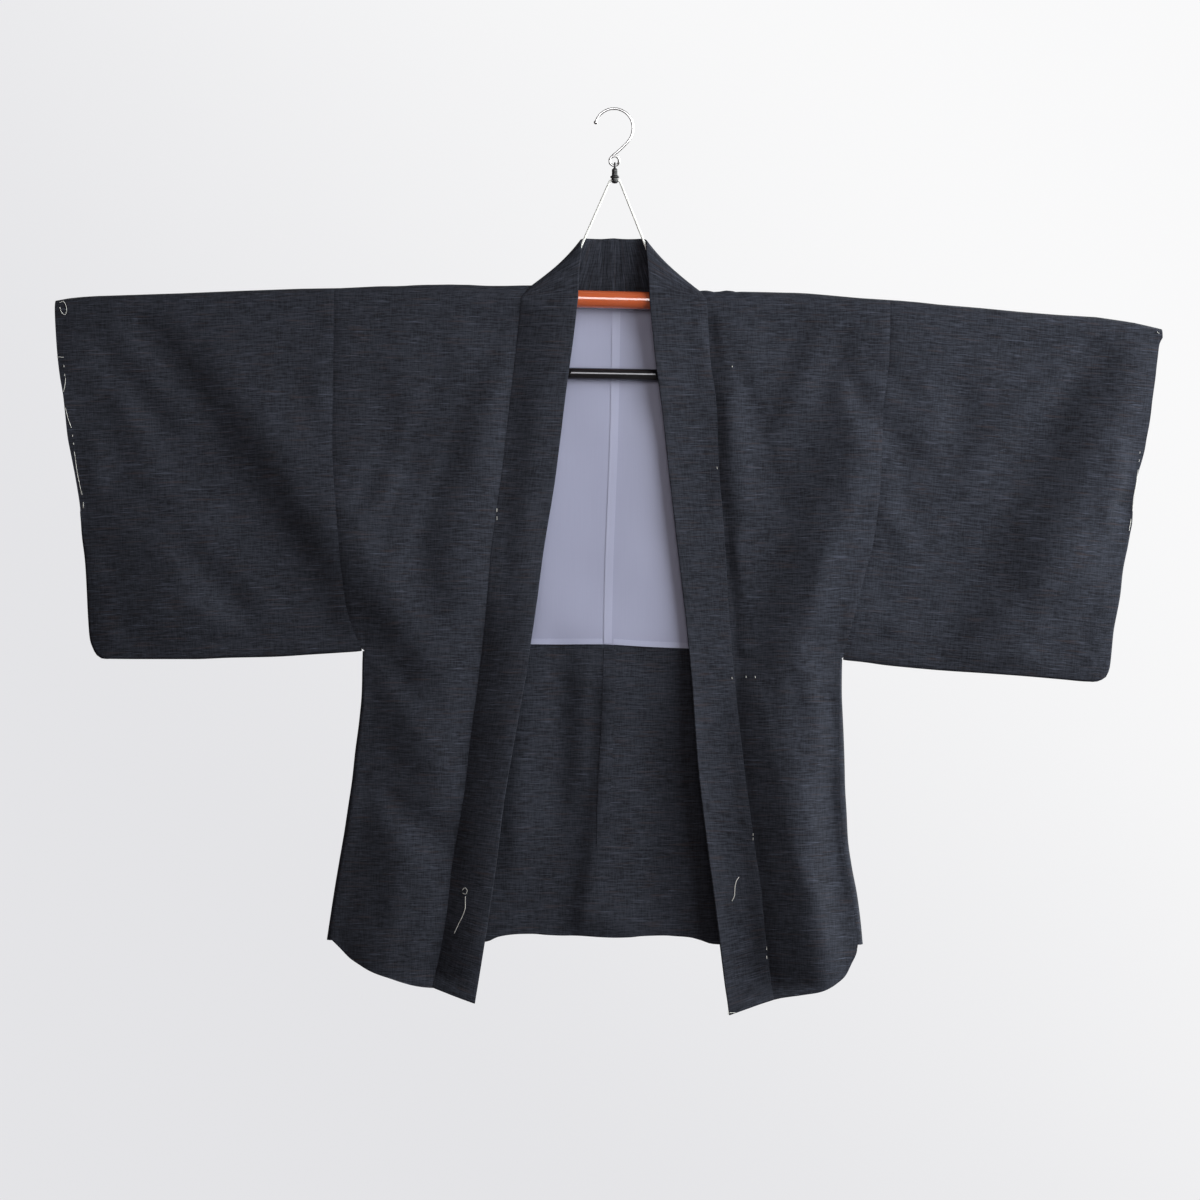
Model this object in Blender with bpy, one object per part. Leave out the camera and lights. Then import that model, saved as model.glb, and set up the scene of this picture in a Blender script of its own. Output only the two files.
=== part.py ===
"""A haori jacket hung flat on a kimono hanger, with its seams, folds, lining and open fronts.

All sizes are millimetres until a mesh is made. The plane of the cloth is given by `across` (to the
right of the hook, as one stands before the open fronts) and `drop` (below the seat of the hook).
Depth is negative towards the fronts and positive towards the back.
"""

from dataclasses import dataclass

import bmesh
import bpy
import numpy as np
from mathutils import Matrix, Vector
from mathutils.geometry import delaunay_2d_cdt

MM = 0.001

# cloth
WALL = 1.4  # wall of every cloth panel
BAND_WALL = 3.0  # the collar band is folded double over an interlining
LINING_WALL = 1.0
SEAM_GAP = 0.3
NECK_EASE = 0.6  # further gap where the collar twists over the shoulder
SHOULDER_RADIUS = 12.2  # mid wall of the cloth that turns over the tube
EDGE_RADIUS = 2.6  # half gap where a sleeve is closed along its edge
PILLOW = 70.0  # width over which a closed edge swells to the full gap
MESH_STEP = 40.0  # size of a plain facet
EDGE_STEP = 21.0  # spacing of points along seams and edges
SHOULDER_STEPS = 6
EDGE_STEPS = 3

# hanger
TUBE_RADIUS = 10.5
TUBE_END_RADIUS = 9.5
BAR_RADIUS = 7.0
CORD_RADIUS = 1.1
WIRE_RADIUS = 1.5


def table(*rows):
    """The rows of a short table as an array, one column for each value."""
    return np.array(rows, float)


def smooth(at, keys, values):
    """Values at `at` on a smooth curve through the rows (keys, values); keys rise."""
    keys, values = np.asarray(keys, float), np.asarray(values, float)
    slope = np.gradient(values, keys)
    at = np.clip(at, keys[0], keys[-1])
    i = np.clip(np.searchsorted(keys, at, side="right") - 1, 0, len(keys) - 2)
    h = keys[i + 1] - keys[i]
    t = (at - keys[i]) / h
    return (
        (2 * t**3 - 3 * t**2 + 1) * values[i]
        + (t**3 - 2 * t**2 + t) * h * slope[i]
        + (3 * t**2 - 2 * t**3) * values[i + 1]
        + (t**3 - t**2) * h * slope[i + 1]
    )


def ease(value):
    """Smooth step from 0 at 0 to 1 at 1."""
    t = np.clip(value, 0, 1)
    return t * t * (3 - 2 * t)


def resample(points, step):
    """Points at about `step` along an open line, both ends kept."""
    points = np.asarray(points, float)
    run = np.concatenate([[0], np.cumsum(np.linalg.norm(np.diff(points, axis=0), axis=1))])
    count = max(1, round(run[-1] / step))
    at = np.linspace(0, run[-1], count + 1)
    return np.stack([np.interp(at, run, column) for column in points.T], axis=1)


def along(points, line):
    """(share of the line, signed distance) of the nearest place on a line, right side positive."""
    start, step = line[:-1], np.diff(line, axis=0)
    length = np.linalg.norm(step, axis=1)
    offset = points[:, None, :] - start[None]
    share = np.clip((offset * step).sum(2) / length**2, 0, 1)
    miss = offset - share[..., None] * step
    distance = np.linalg.norm(miss, axis=2)
    best = distance.argmin(axis=1)
    rows = np.arange(len(points))
    run = np.concatenate([[0], np.cumsum(length)])
    t = (run[best] + share[rows, best] * length[best]) / run[-1]
    cross = step[best, 0] * miss[rows, best, 1] - step[best, 1] * miss[rows, best, 0]
    return t, np.where(cross < 0, 1, -1) * distance[rows, best]


# ---------------------------------------------------------------- outlines

# the line at which the cloth starts to turn over the tube: (across, drop)
REST_LINE = table(
    (-655, 239), (-608, 232.4), (-216, 219.5), (218, 230.4), (567, 258.4), (600, 263), (629, 269), (644, 271)
)
# half width of that turn: (across, radius)
REST_RADIUS = table(
    (-655, 6.5), (-608, 12.2), (-160, 12.2), (-108, 13), (108, 13), (160, 12.2), (567, 12.2), (644, 6.5)
)
# half the gap between front and back: (drop below the rest line, half gap)
HALF_GAP = table((0, 12.2), (20, 12.8), (100, 14), (300, 15), (500, 19), (830, 22))
SIDE_GAP = 9.0  # half gap at the gussets


@dataclass(frozen=True)
class Half:
    """The outlines of one half of the garment, each a table of (across, drop)."""

    name: str
    sign: int
    cuff: np.ndarray  # open edge, shoulder to the end of the opening
    closed: np.ndarray  # closed edge, end of the opening to the armpit
    armhole: np.ndarray  # seam of sleeve and body, shoulder to armpit
    side: np.ndarray  # seam of front and gusset, below the sleeve to the hem
    hem: np.ndarray  # front hem, side to collar
    seam: np.ndarray  # collar seam, hem to neck
    edge: np.ndarray  # free edge of the collar, hem to neck
    neck_edge: np.ndarray  # free edge round the neck: (across, depth, drop)
    neck: np.ndarray  # collar seam over the shoulder, front to back: (across, depth, drop)
    gusset_bulge: tuple  # how far the gusset stands out at its top and hem


LEFT = Half(
    name="left",
    sign=-1,
    cuff=table((-655, 239), (-654, 260), (-652, 290), (-647, 327), (-643, 365), (-636, 406), (-627, 456), (-622.5, 472)),
    closed=table(
        (-622.5, 472), (-619.5, 492), (-616, 531), (-615, 576), (-613, 608), (-610, 625), (-603, 635), (-591, 639.5),
        (-521, 640.5), (-456, 639), (-380, 636), (-297, 633)
    ),
    armhole=table((-328, 223.5), (-330, 388), (-323, 494), (-315, 576), (-306, 611), (-297, 633)),
    side=table((-287, 645), (-290, 693), (-298, 764), (-304, 811), (-311, 858), (-319, 904), (-326, 951), (-330, 976)),
    hem=table((-330, 976), (-310, 996), (-279, 1015), (-246, 1025), (-211, 1031)),
    seam=table(
        (-211, 1031), (-196, 952), (-188, 884), (-175, 807), (-167, 737), (-158, 670), (-148, 576), (-144, 522),
        (-132, 432), (-120, 331), (-113, 271), (-108, 222.5)
    ),
    edge=table(
        (-162, 1049), (-149, 965), (-138, 890), (-128, 810), (-116, 738), (-104, 670), (-90, 576), (-83, 522),
        (-69, 435), (-56, 331), (-48, 273), (-42, 222.5)
    ),
    neck_edge=table(
        (-42, -15.5, 222.5), (-40.5, -14.5, 185), (-42, -9, 166), (-45, 0, 165), (-43, 9, 158), (-33, 15, 154),
        (-17, 17, 154), (0, 17, 154)
    ),
    neck=table((-108, -13, 222.5), (-99, -9.5, 211), (-88, 0, 205), (-79, 11, 212), (-70, 16.6, 223)),
    gusset_bulge=(2.5, 6.5),
)
RIGHT = Half(
    name="right",
    sign=1,
    cuff=table((644, 271), (640, 285), (633, 312), (628, 341), (625, 376), (618, 412), (609, 443), (605, 460), (602, 472)),
    closed=table(
        (602, 472), (599, 490), (592, 541), (588, 576), (583, 617), (580, 640), (577, 655), (571, 664), (560, 667),
        (482, 661), (424, 656), (365, 652), (306, 647), (270, 643)
    ),
    armhole=table((324, 239), (323, 289), (316, 352), (312, 442), (305, 502), (292, 555), (277, 615), (270, 643)),
    side=table((259, 656), (259, 693), (262, 775), (264, 822), (269, 881), (278, 928), (283, 965), (286, 982)),
    hem=table((286, 982), (268, 1013), (243, 1031), (215, 1037), (186, 1043)),
    seam=table(
        (186, 1043), (178, 975), (172, 914), (165, 866), (152, 768), (141, 670), (136, 615), (129, 502), (123, 423),
        (120, 350), (112, 290), (108, 227.5)
    ),
    edge=table(
        (134, 1063), (125, 986), (116, 916), (109, 863), (98, 768), (91, 670), (86, 615), (73, 502), (64, 423),
        (56, 350), (48, 290), (42, 227.5)
    ),
    neck_edge=table(
        (42, -15.5, 227.5), (42, -14.5, 188), (43, -9, 167), (46, 0, 165), (44, 9, 158), (35, 15, 154),
        (17, 17, 154), (0, 17, 154)
    ),
    neck=table((108, -13, 227.5), (101, -9.5, 214), (91, 0, 205), (82, 11, 212), (72, 16.6, 223)),
    gusset_bulge=(2.5, 6.5),
)
HALVES = (LEFT, RIGHT)

# centre back seam and back hem: (across, drop)
CENTRE = table((0, 225), (-3, 378), (-9, 545), (-12, 693), (-18, 819), (-19, 867), (-20, 974))
BACK_HEM = table(
    (-330, 976), (-251, 977), (-150, 978), (-103, 972), (-45, 973), (-20, 974), (5, 975), (59, 973), (86, 975),
    (124, 984), (206, 986), (286, 982)
)
# lower edge of the lining and upper edge of the turned-up hem: (across, drop)
LINING_HEM = table((-297, 633), (-97, 628), (-9, 628), (32, 630.5), (88, 633), (270, 643))
LINING_TOP = 8.0  # the lining starts this far below the rest line, behind the tube
TURNUP_EDGE = table((-330, 869), (-141, 867), (-20, 866), (32, 868), (109, 873), (290, 880))
NECKLINE = table((-70, 223), (-46, 225), (0, 225), (48, 225), (72, 223))


# ---------------------------------------------------------------- folds


@dataclass(frozen=True)
class Fold:
    """A soft trough (depth > 0, inwards) or ridge (depth < 0) along a bent line."""

    x0: float
    d0: float
    x1: float
    d1: float
    x2: float
    d2: float
    start: float
    end: float
    left: float
    right: float
    spread: float = 1.0
    lip: float = 0.15

    def line(self, count=18):
        """Places on the parabola through the fold's start, bend and end."""
        t = np.linspace(0, 1, count)[:, None]
        a, b, c = (np.array(p, float) for p in ((self.x0, self.d0), (self.x1, self.d1), (self.x2, self.d2)))
        return (1 - t) * (1 - 2 * t) * a + 4 * t * (1 - t) * b + t * (2 * t - 1) * c

    def depth(self, points, line=None):
        """How far the fold moves the cloth at each point: depth * exp(-(distance / width)^2)."""
        t, offset = along(points, self.line() if line is None else line)
        width = np.where(offset < 0, self.left, self.right) * (1 + (self.spread - 1) * t)
        size = (self.start + (self.end - self.start) * t) * ease(t / self.lip) * ease((1 - t) / self.lip)
        return size * np.exp(-((offset / width) ** 2))


# x and drop at the start, the bend and the end; depth at start and end; width left and right; spread; lip
FRONT_FOLDS = (
    # left sleeve: the long valley to the armpit, and the swell below it
    Fold(-572, 228, -378, 468, -200, 695, 11, 12, 14, 14, 1.5, 0.12),
    Fold(-545, 310, -450, 450, -340, 600, -4, -5, 34, 26, 1.3, 0.3),
    # left front: two hollows, and the swell beside the lower collar
    Fold(-169, 320, -204, 465, -180, 600, 4, 5, 20, 16, 1.0, 0.3),
    Fold(-286, 650, -262, 712, -222, 770, 6, 6, 18, 18, 1.0, 0.3),
    Fold(-214, 720, -256, 860, -262, 1040, -5, -11, 32, 34, 1.0, 0.3),
    Fold(-312, 790, -296, 890, -288, 985, 3, 5, 18, 16, 1.0, 0.3),
    # right sleeve: the broad valley to the lower edge
    Fold(601, 262, 520, 440, 385, 655, 11, 13, 30, 25, 1.2, 0.12),
    Fold(556, 420, 562, 500, 545, 590, -3, -4, 24, 20, 1.0, 0.3),
    # right front: the valley and the ridge that run down from the armpit, and the swell by the side
    Fold(262, 320, 228, 480, 186, 680, 9, 10, 18, 20, 1.0, 0.2),
    Fold(292, 390, 272, 520, 240, 650, -6, -7, 20, 18, 1.0, 0.3),
    Fold(240, 660, 262, 840, 264, 1010, -5, -11, 34, 30, 1.1, 0.3),
)
# the trough at each collar seam, hem to neck
SEAM_FOLDS = {
    "left": Fold(0, 0, 0, 0, 0, 0, 14, 3.5, 34, 24, 0.5, 0.02),
    "right": Fold(0, 0, 0, 0, 0, 0, 20, 3.5, 58, 24, 0.35, 0.02),
}
BACK_FOLDS = (
    # behind the sleeves
    Fold(-575, 250, -420, 450, -255, 690, 9, 10, 18, 16, 1.4, 0.15),
    Fold(-520, 340, -450, 470, -380, 590, -4, -4, 26, 26, 1.0, 0.3),
    Fold(575, 285, 470, 450, 300, 690, 10, 11, 24, 22, 1.2, 0.15),
    Fold(490, 300, 420, 400, 360, 520, -4, -4, 26, 26, 1.0, 0.3),
    # behind the body
    Fold(-245, 330, -228, 500, -240, 650, -5, -6, 24, 20, 1.0, 0.3),
    Fold(-262, 700, -238, 820, -246, 965, 5, 7, 24, 28, 1.1, 0.2),
    Fold(-14, 650, -30, 790, -38, 965, -6, -9, 17, 19, 1.2, 0.2),
    Fold(-72, 560, -84, 720, -94, 965, 5, 8, 26, 26, 1.2, 0.3),
    Fold(-165, 520, -160, 740, -170, 965, -4, -7, 24, 24, 1.1, 0.3),
    Fold(36, 600, 45, 780, 42, 965, 4, 6, 24, 22, 1.0, 0.3),
    Fold(95, 560, 100, 760, 116, 965, -4, -7, 20, 22, 1.2, 0.3),
    Fold(190, 420, 180, 650, 198, 965, 5, 7, 30, 26, 1.2, 0.3),
    Fold(262, 400, 240, 530, 246, 660, -4, -4, 18, 18, 1.0, 0.3),
)


def rest_drop(across):
    """Drop of the rest line."""
    return np.interp(across, REST_LINE[:, 0], REST_LINE[:, 1])


def half_gap(points):
    """Half the gap between front and back before any fold."""
    across, drop = points.T
    below = np.maximum(drop - rest_drop(across), 0)
    gap = smooth(below, HALF_GAP[:, 0], HALF_GAP[:, 1])
    tip = np.interp(across, REST_RADIUS[:, 0], REST_RADIUS[:, 1]) / SHOULDER_RADIUS
    gap = gap * (tip + (1 - tip) * ease(below / 160))
    for half in HALVES:
        armpit = half.armhole[-1, 1]
        reach = np.abs(across - smooth(drop, half.side[:, 1], half.side[:, 0]))
        narrow = (1 - ease(reach / 75)) * ease((drop - armpit) / 70)
        gap = gap - (gap - SIDE_GAP) * narrow * (across * half.sign > 0)
        off = np.abs(along(points, resample(half.closed, 12))[1])
        swell = np.sin(np.clip(off / PILLOW, 0, 1) * np.pi / 2)
        gap = EDGE_RADIUS + (gap - EDGE_RADIUS) * swell
    return gap


def seam_line(half):
    """The collar seam on the fronts, hem to neck."""
    t = np.linspace(0, len(half.seam) - 1, 40)
    rows = np.arange(len(half.seam))
    return np.stack([smooth(t, rows, half.seam[:, i]) for i in (0, 1)], axis=1)


def fold_share(points):
    """0 at the tube, 1 once the cloth hangs free of it."""
    return ease((points[:, 1] - rest_drop(points[:, 0]) - 3) / 34)


def front_depth(points):
    """Depth of the mid wall of the fronts, and of the collar that hangs with them."""
    moved = sum(fold.depth(points) for fold in FRONT_FOLDS)
    for half in HALVES:
        moved = moved + SEAM_FOLDS[half.name].depth(points, seam_line(half))
    forward = 10 * ease((points[:, 1] - 640) / 380)
    gap = half_gap(points)
    near_edge = np.clip((gap - EDGE_RADIUS) / 7, 0, 1)
    depth = gap + forward * ease((gap - 4) / 12) - moved * fold_share(points) * near_edge
    floor = np.minimum(gap, 4.0)
    return -(floor + np.logaddexp(0, (depth - floor) / 1.5) * 1.5)


def back_depth(points):
    """Depth of the mid wall of the back."""
    gap = half_gap(points)
    near_edge = np.clip((gap - EDGE_RADIUS) / 7, 0, 1)
    moved = sum(fold.depth(points) for fold in BACK_FOLDS)
    across, drop = points.T
    neck = 4 * ease((110 - np.abs(across)) / 50) * (1 - 0.7 * ease((drop - 260) / 160))
    depth = gap + neck - moved * fold_share(points) * near_edge
    floor = np.minimum(gap, 4.0)
    return floor + np.logaddexp(0, (depth - floor) / 1.5) * 1.5


# ---------------------------------------------------------------- seams shared by neighbours


def lift(points, depth):
    """(across, drop) and a depth as points in space: across, depth, height."""
    return np.stack([points[:, 0], depth, -points[:, 1]], axis=1)


def with_rows(line, drops):
    """A line that falls, with a point put in at each drop where it had none near."""
    keys = np.concatenate([line[:, 1], drops])
    keep = [k for k in line[:, 1] if np.abs(np.array(drops) - k).min() > 6 or k in line[[0, -1], 1]]
    keys = np.array(sorted(set(keep) | set(drops)))
    return np.stack([np.interp(keys, line[:, 1], line[:, 0]), keys], axis=1)


def armhole_line(half):
    """Seam of sleeve and body, shoulder to armpit."""
    line = half.armhole.copy()
    line[0, 1] = rest_drop(line[0, 0])
    drops = np.arange(line[0, 1], line[-1, 1], 4)
    fine = np.stack([smooth(drops, line[:, 1], line[:, 0]), drops], axis=1)
    return with_rows(resample(np.vstack([fine, line[-1:]]), EDGE_STEP), [line[0, 1] + LINING_TOP])


def side_line(half):
    """Seam of front, gusset and back, below the sleeve to the hem."""
    drops = np.linspace(half.side[0, 1], half.side[-1, 1], 60)
    fine = np.stack([smooth(drops, half.side[:, 1], half.side[:, 0]), drops], axis=1)
    edge = np.interp(half.side[-3, 0], TURNUP_EDGE[:, 0], TURNUP_EDGE[:, 1])
    return with_rows(resample(fine, EDGE_STEP * 1.3), [edge])


def centre_line():
    """Centre back seam, neck to hem."""
    drops = np.linspace(CENTRE[0, 1], CENTRE[-1, 1], 100)
    fine = np.stack([smooth(drops, CENTRE[:, 1], CENTRE[:, 0]), drops], axis=1)
    top = rest_drop(0.0) + LINING_TOP
    return with_rows(resample(fine, EDGE_STEP * 1.3), [top, 628.0, 866.0])


def front_stations(half):
    """(seam, edge) of the collar at each station of one front, hem to neck, as (across, drop)."""
    rows = np.arange(len(half.seam))
    t = np.linspace(0, rows[-1], 200)
    seam = np.stack([smooth(t, rows, half.seam[:, i]) for i in (0, 1)], axis=1)
    run = np.concatenate([[0], np.cumsum(np.linalg.norm(np.diff(seam, axis=0), axis=1))])
    count = round(run[-1] / (EDGE_STEP * 1.25))
    t = np.interp(np.linspace(0, run[-1], count + 1), run, t)
    return tuple(
        np.stack([smooth(t, rows, line[:, i]) for i in (0, 1)], axis=1) for line in (half.seam, half.edge)
    )


def shoulder_row(half, start, end, step):
    """Places along the rest line from one across to another."""
    low, high = min(start, end), max(start, end)
    bends = [x for x in REST_LINE[:, 0] if low + 9 < x < high - 9]
    stops = [low, *bends, high]
    runs = [np.linspace(a, b, max(1, round((b - a) / step)) + 1)[:-1] for a, b in zip(stops, stops[1:])]
    across = np.append(np.concatenate(runs), high)
    across = across if end > start else across[::-1]
    return np.stack([across, rest_drop(across)], axis=1)


def neckline(half):
    """Collar seam on the back, shoulder to centre, as (across, drop)."""
    across = np.linspace(half.neck[-1, 0], 0, 4)
    return np.stack([across, np.interp(across, NECKLINE[:, 0], NECKLINE[:, 1])], axis=1)


def arch(front, back, radius, steps=SHOULDER_STEPS):
    """Points over the shoulder between a front and a back point: half an ellipse, ends left out."""
    turn = np.linspace(0, np.pi, steps + 1)[1:-1, None]
    middle, half_span = (front + back) / 2, (front - back) / 2
    return middle + np.cos(turn) * half_span + np.sin(turn) * np.array([0, 0, radius])


def neck_arch(half, front, back):
    """The collar seam over the shoulder, through the rows of `neck`, ends left out."""
    share = np.linspace(0, 1, SHOULDER_STEPS + 1)
    keys = np.linspace(0, 1, len(half.neck))
    across, depth, drop = (smooth(share, keys, half.neck[:, i]) for i in range(3))
    line = np.stack([across, depth, -drop], axis=1)
    line += (1 - share[:, None]) * (front - line[0]) + share[:, None] * (back - line[-1])
    return line[1:-1]


# ---------------------------------------------------------------- meshes


def inside(points, outline):
    """Which points lie inside a closed outline."""
    found = np.zeros(len(points), bool)
    for (x0, d0), (x1, d1) in zip(outline, np.roll(outline, -1, axis=0)):
        if d0 == d1:
            continue
        crosses = (d0 > points[:, 1]) != (d1 > points[:, 1])
        found ^= crosses & (points[:, 0] < (x1 - x0) * (points[:, 1] - d0) / (d1 - d0) + x0)
    return found


def lean_gap(into_panel, ruling, wall=WALL):
    """Gap along a ruling that keeps two walls apart where they meet at an angle."""
    a = into_panel / np.linalg.norm(into_panel, axis=1)[:, None]
    b = ruling / np.linalg.norm(ruling, axis=1)[:, None]
    bend = np.linalg.norm(np.cross(a, b), axis=1)
    return (SEAM_GAP + wall / 2 * np.minimum(1, 1.25 * bend))[:, None]


def is_strong(fold):
    """Whether a fold is deep enough for a second row of facets on each bank."""
    return max(abs(fold.start), abs(fold.end)) > 6


def fold_rows(folds, step):
    """(places, room) along the bottom and both banks of each fold, the deep folds first."""
    rows = []
    for fold in sorted(folds, key=is_strong, reverse=True):
        line = resample(fold.line(), step)
        way = np.gradient(line, axis=0)
        way /= np.linalg.norm(way, axis=1)[:, None]
        away = np.stack([way[:, 1], -way[:, 0]], axis=1)
        share = np.linspace(0, 1, len(line))[:, None]
        grow = 1 + (fold.spread - 1) * share
        offsets = (0, -0.8, 0.8, -1.7, 1.7) if is_strong(fold) else (0, -1.3, 1.3)
        for offset in offsets:
            reach = fold.left if offset < 0 else fold.right
            rows.append((line + away * offset * reach * grow, 9.0 if is_strong(fold) else 20.0))
    return rows


def fill(outline, folds, lines=(), beside=()):
    """(points, triangles) inside an outline, with facets along folds and edges along `lines`.

    The outline's points come first, in their order. `beside` holds rows of further points.
    """
    points = [tuple(p) for p in outline]
    edges = []
    border = np.vstack([resample(np.array(pair), 6) for pair in zip(outline, np.roll(outline, -1, axis=0))])
    taken = border
    for line in lines:
        ends = [int(np.linalg.norm(outline - line[i], axis=1).argmin()) for i in (0, -1)]
        first = len(points)
        points += [tuple(p) for p in line[1:-1]]
        chain = [ends[0], *range(first, len(points)), ends[1]]
        edges += list(zip(chain, chain[1:]))
        taken = np.vstack([taken, resample(line, 6)])
    low, high = outline.min(axis=0), outline.max(axis=0)
    across = np.arange(low[0], high[0], MESH_STEP)
    drop = np.arange(low[1], high[1], MESH_STEP * 0.87)
    grid = np.array([(x + MESH_STEP / 2 * (j % 2), d) for j, d in enumerate(drop) for x in across])
    rows = [*((row, 10.0) for row in beside), *fold_rows(folds, 28), (grid, MESH_STEP * 0.56)]
    for row, room in rows:
        for point in row[inside(row, outline)]:
            if np.linalg.norm(taken - point, axis=1).min() > room:
                points.append(tuple(point))
                taken = np.vstack([taken, point])
    count = len(outline)
    found = delaunay_2d_cdt([Vector(p) for p in points], edges, [list(range(count))], 1, 1e-4)
    source = [origin[0] if origin else -1 for origin in found[3]]
    place = np.array([tuple(p) for p in found[0]])
    order = np.argsort([s if s >= 0 else len(points) + i for i, s in enumerate(source)], kind="stable")
    rank = np.empty(len(order), int)
    rank[order] = np.arange(len(order))
    triangles = rank[np.array([tuple(f) for f in found[2]])]
    return place[order], triangles


class Cloth:
    """Points and faces of one cloth piece, gathered from surfaces that share their edge points."""

    def __init__(self):
        self.points = []
        self.faces = []

    def add(self, points):
        """Adds points and returns their numbers."""
        first = len(self.points)
        self.points += [tuple(p) for p in points]
        return np.arange(first, first + len(points))

    def sheet(self, points, triangles):
        """Adds a triangulated surface and returns the numbers of its points."""
        numbers = self.add(points)
        self.faces += [tuple(numbers[t]) for t in triangles]
        return numbers

    def strip(self, rows):
        """Joins rows of equal length with four-sided faces."""
        for a, b in zip(rows, rows[1:]):
            self.faces += [(a[i], b[i], b[i + 1], a[i + 1]) for i in range(len(a) - 1)]

    def mesh(self, name):
        """The gathered surface as a mesh in metres, all its faces turned one way."""
        made = bpy.data.meshes.new(name)
        build = bmesh.new()
        corners = [build.verts.new(Vector(p) * MM) for p in self.points]
        for face in self.faces:
            build.faces.new([corners[i] for i in face])
        bmesh.ops.recalc_face_normals(build, faces=build.faces)
        build.normal_update()
        build.to_mesh(made)
        build.free()
        return made


# ---------------------------------------------------------------- materials and objects


@dataclass(frozen=True)
class Finish:
    """Base colour, roughness and metallic share of a material."""

    colour: tuple
    roughness: float
    metallic: float = 0.0

    def material(self, name):
        """A Principled material with this finish."""
        made = bpy.data.materials.new(name)
        made.use_nodes = True
        made.diffuse_color = (*self.colour, 1)
        shader = made.node_tree.nodes["Principled BSDF"]
        shader.inputs["Base Color"].default_value = (*self.colour, 1)
        shader.inputs["Roughness"].default_value = self.roughness
        shader.inputs["Metallic"].default_value = self.metallic
        return made


FINISHES = {
    "indigo_cloth": Finish((0.026, 0.029, 0.038), 0.85),
    "lavender_lining": Finish((0.33, 0.33, 0.44), 0.55),
    "orange_tube": Finish((0.50, 0.13, 0.07), 0.25),
    "black_bar": Finish((0.012, 0.011, 0.013), 0.15),
    "steel": Finish((0.55, 0.55, 0.57), 0.25, 1.0),
    "dark_plastic": Finish((0.02, 0.018, 0.02), 0.4),
    "white_cord": Finish((0.75, 0.75, 0.72), 0.8),
}


def place(name, mesh, finish):
    """Puts a mesh in the scene as one named piece."""
    piece = bpy.data.objects.new(name, mesh)
    bpy.context.scene.collection.objects.link(piece)
    piece.data.materials.clear()
    piece.data.materials.append(bpy.data.materials[finish])
    return piece


def thicken(piece, wall):
    """Gives a cloth surface its wall, half to each side."""
    wall_of = piece.modifiers.new("wall", "SOLIDIFY")
    wall_of.thickness = wall * MM
    wall_of.offset = 0.0
    return piece


def boolean(piece, other, operation):
    """Joins to a piece, or cuts from it, a helper that doesn't show."""
    other.hide_render = True
    other.display_type = "WIRE"
    step = piece.modifiers.new(other.name, "BOOLEAN")
    step.operation = operation
    step.solver = "EXACT"
    step.object = other


# ---------------------------------------------------------------- cloth pieces


def shoulder_arches(cloth, front_row, back_row):
    """Points over the shoulder between a front and a back row, one arch for each pair."""
    front = np.array([cloth.points[i] for i in front_row])
    back = np.array([cloth.points[i] for i in back_row])
    return np.array([arch(f, b, r) for f, b, r in zip(front, back, crest_radius(front[:, 0]))])


def crest_radius(across):
    """How far the cloth rises over the rest line."""
    return np.interp(across, REST_RADIUS[:, 0], np.minimum(REST_RADIUS[:, 1], SHOULDER_RADIUS))


def build_sleeve(half):
    """One sleeve: front and back sheets joined over the shoulder and round the closed edge."""
    seam = armhole_line(half) + [half.sign * SEAM_GAP * 0.7, 0]
    cuff = resample(half.cuff, EDGE_STEP)
    cuff[0, 1] = rest_drop(cuff[0, 0])
    closed = resample(half.closed, EDGE_STEP)
    closed = np.vstack([closed[:-1], seam[-1:]])
    top = shoulder_row(half, seam[0, 0], cuff[0, 0], 32)
    outline = np.vstack([top, cuff[1:], closed[1:], seam[-2:0:-1]])
    n_top, n_cuff = len(top), len(cuff)
    cloth = Cloth()
    flat, triangles = fill(outline, FRONT_FOLDS)
    front = cloth.sheet(lift(flat, front_depth(flat)), triangles)
    flat, triangles = fill(outline, BACK_FOLDS)
    back = cloth.sheet(lift(flat, back_depth(flat)), triangles)
    arches = shoulder_arches(cloth, front[:n_top], back[:n_top])
    cloth.strip([front[:n_top], *(cloth.add(row) for row in arches.transpose(1, 0, 2)), back[:n_top]])
    start, stop = n_top + n_cuff - 2, n_top + n_cuff - 2 + len(closed)
    rim = outline[start:stop]
    way = np.gradient(rim, axis=0)
    way /= np.linalg.norm(way, axis=1)[:, None]
    out = np.stack([way[:, 1], -way[:, 0]], axis=1) * half.sign
    gap = np.array([-cloth.points[i][1] for i in front[start:stop]])
    rows = []
    for turn in np.linspace(0, np.pi, EDGE_STEPS + 1)[1:-1]:
        rows.append(cloth.add(lift(rim + out * (gap * np.sin(turn))[:, None], -gap * np.cos(turn))))
    cloth.strip([front[start:stop], *rows, back[start:stop]])
    return thicken(place(f"sleeve_{half.name}", cloth.mesh(f"sleeve_{half.name}"), "indigo_cloth"), WALL)


def hem_points(line, start, end):
    """A hem from one corner to another through the rows between them."""
    way = 1 if end[0] > start[0] else -1
    rows = line[np.argsort(way * line[:, 0])]
    between = (way * rows[:, 0] > way * start[0] + 12) & (way * rows[:, 0] < way * end[0] - 12)
    return resample(np.vstack([start, rows[between], end]), EDGE_STEP * 1.3)


def across_line(rows, start, end):
    """A line over the back from one boundary point to another, following the rows."""
    across = np.linspace(start[0], end[0], max(2, round(abs(end[0] - start[0]) / MESH_STEP)) + 1)
    drop = np.interp(across, rows[:, 0], rows[:, 1])
    drop[0], drop[-1] = start[1], end[1]
    return np.stack([across, drop], axis=1)


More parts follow.
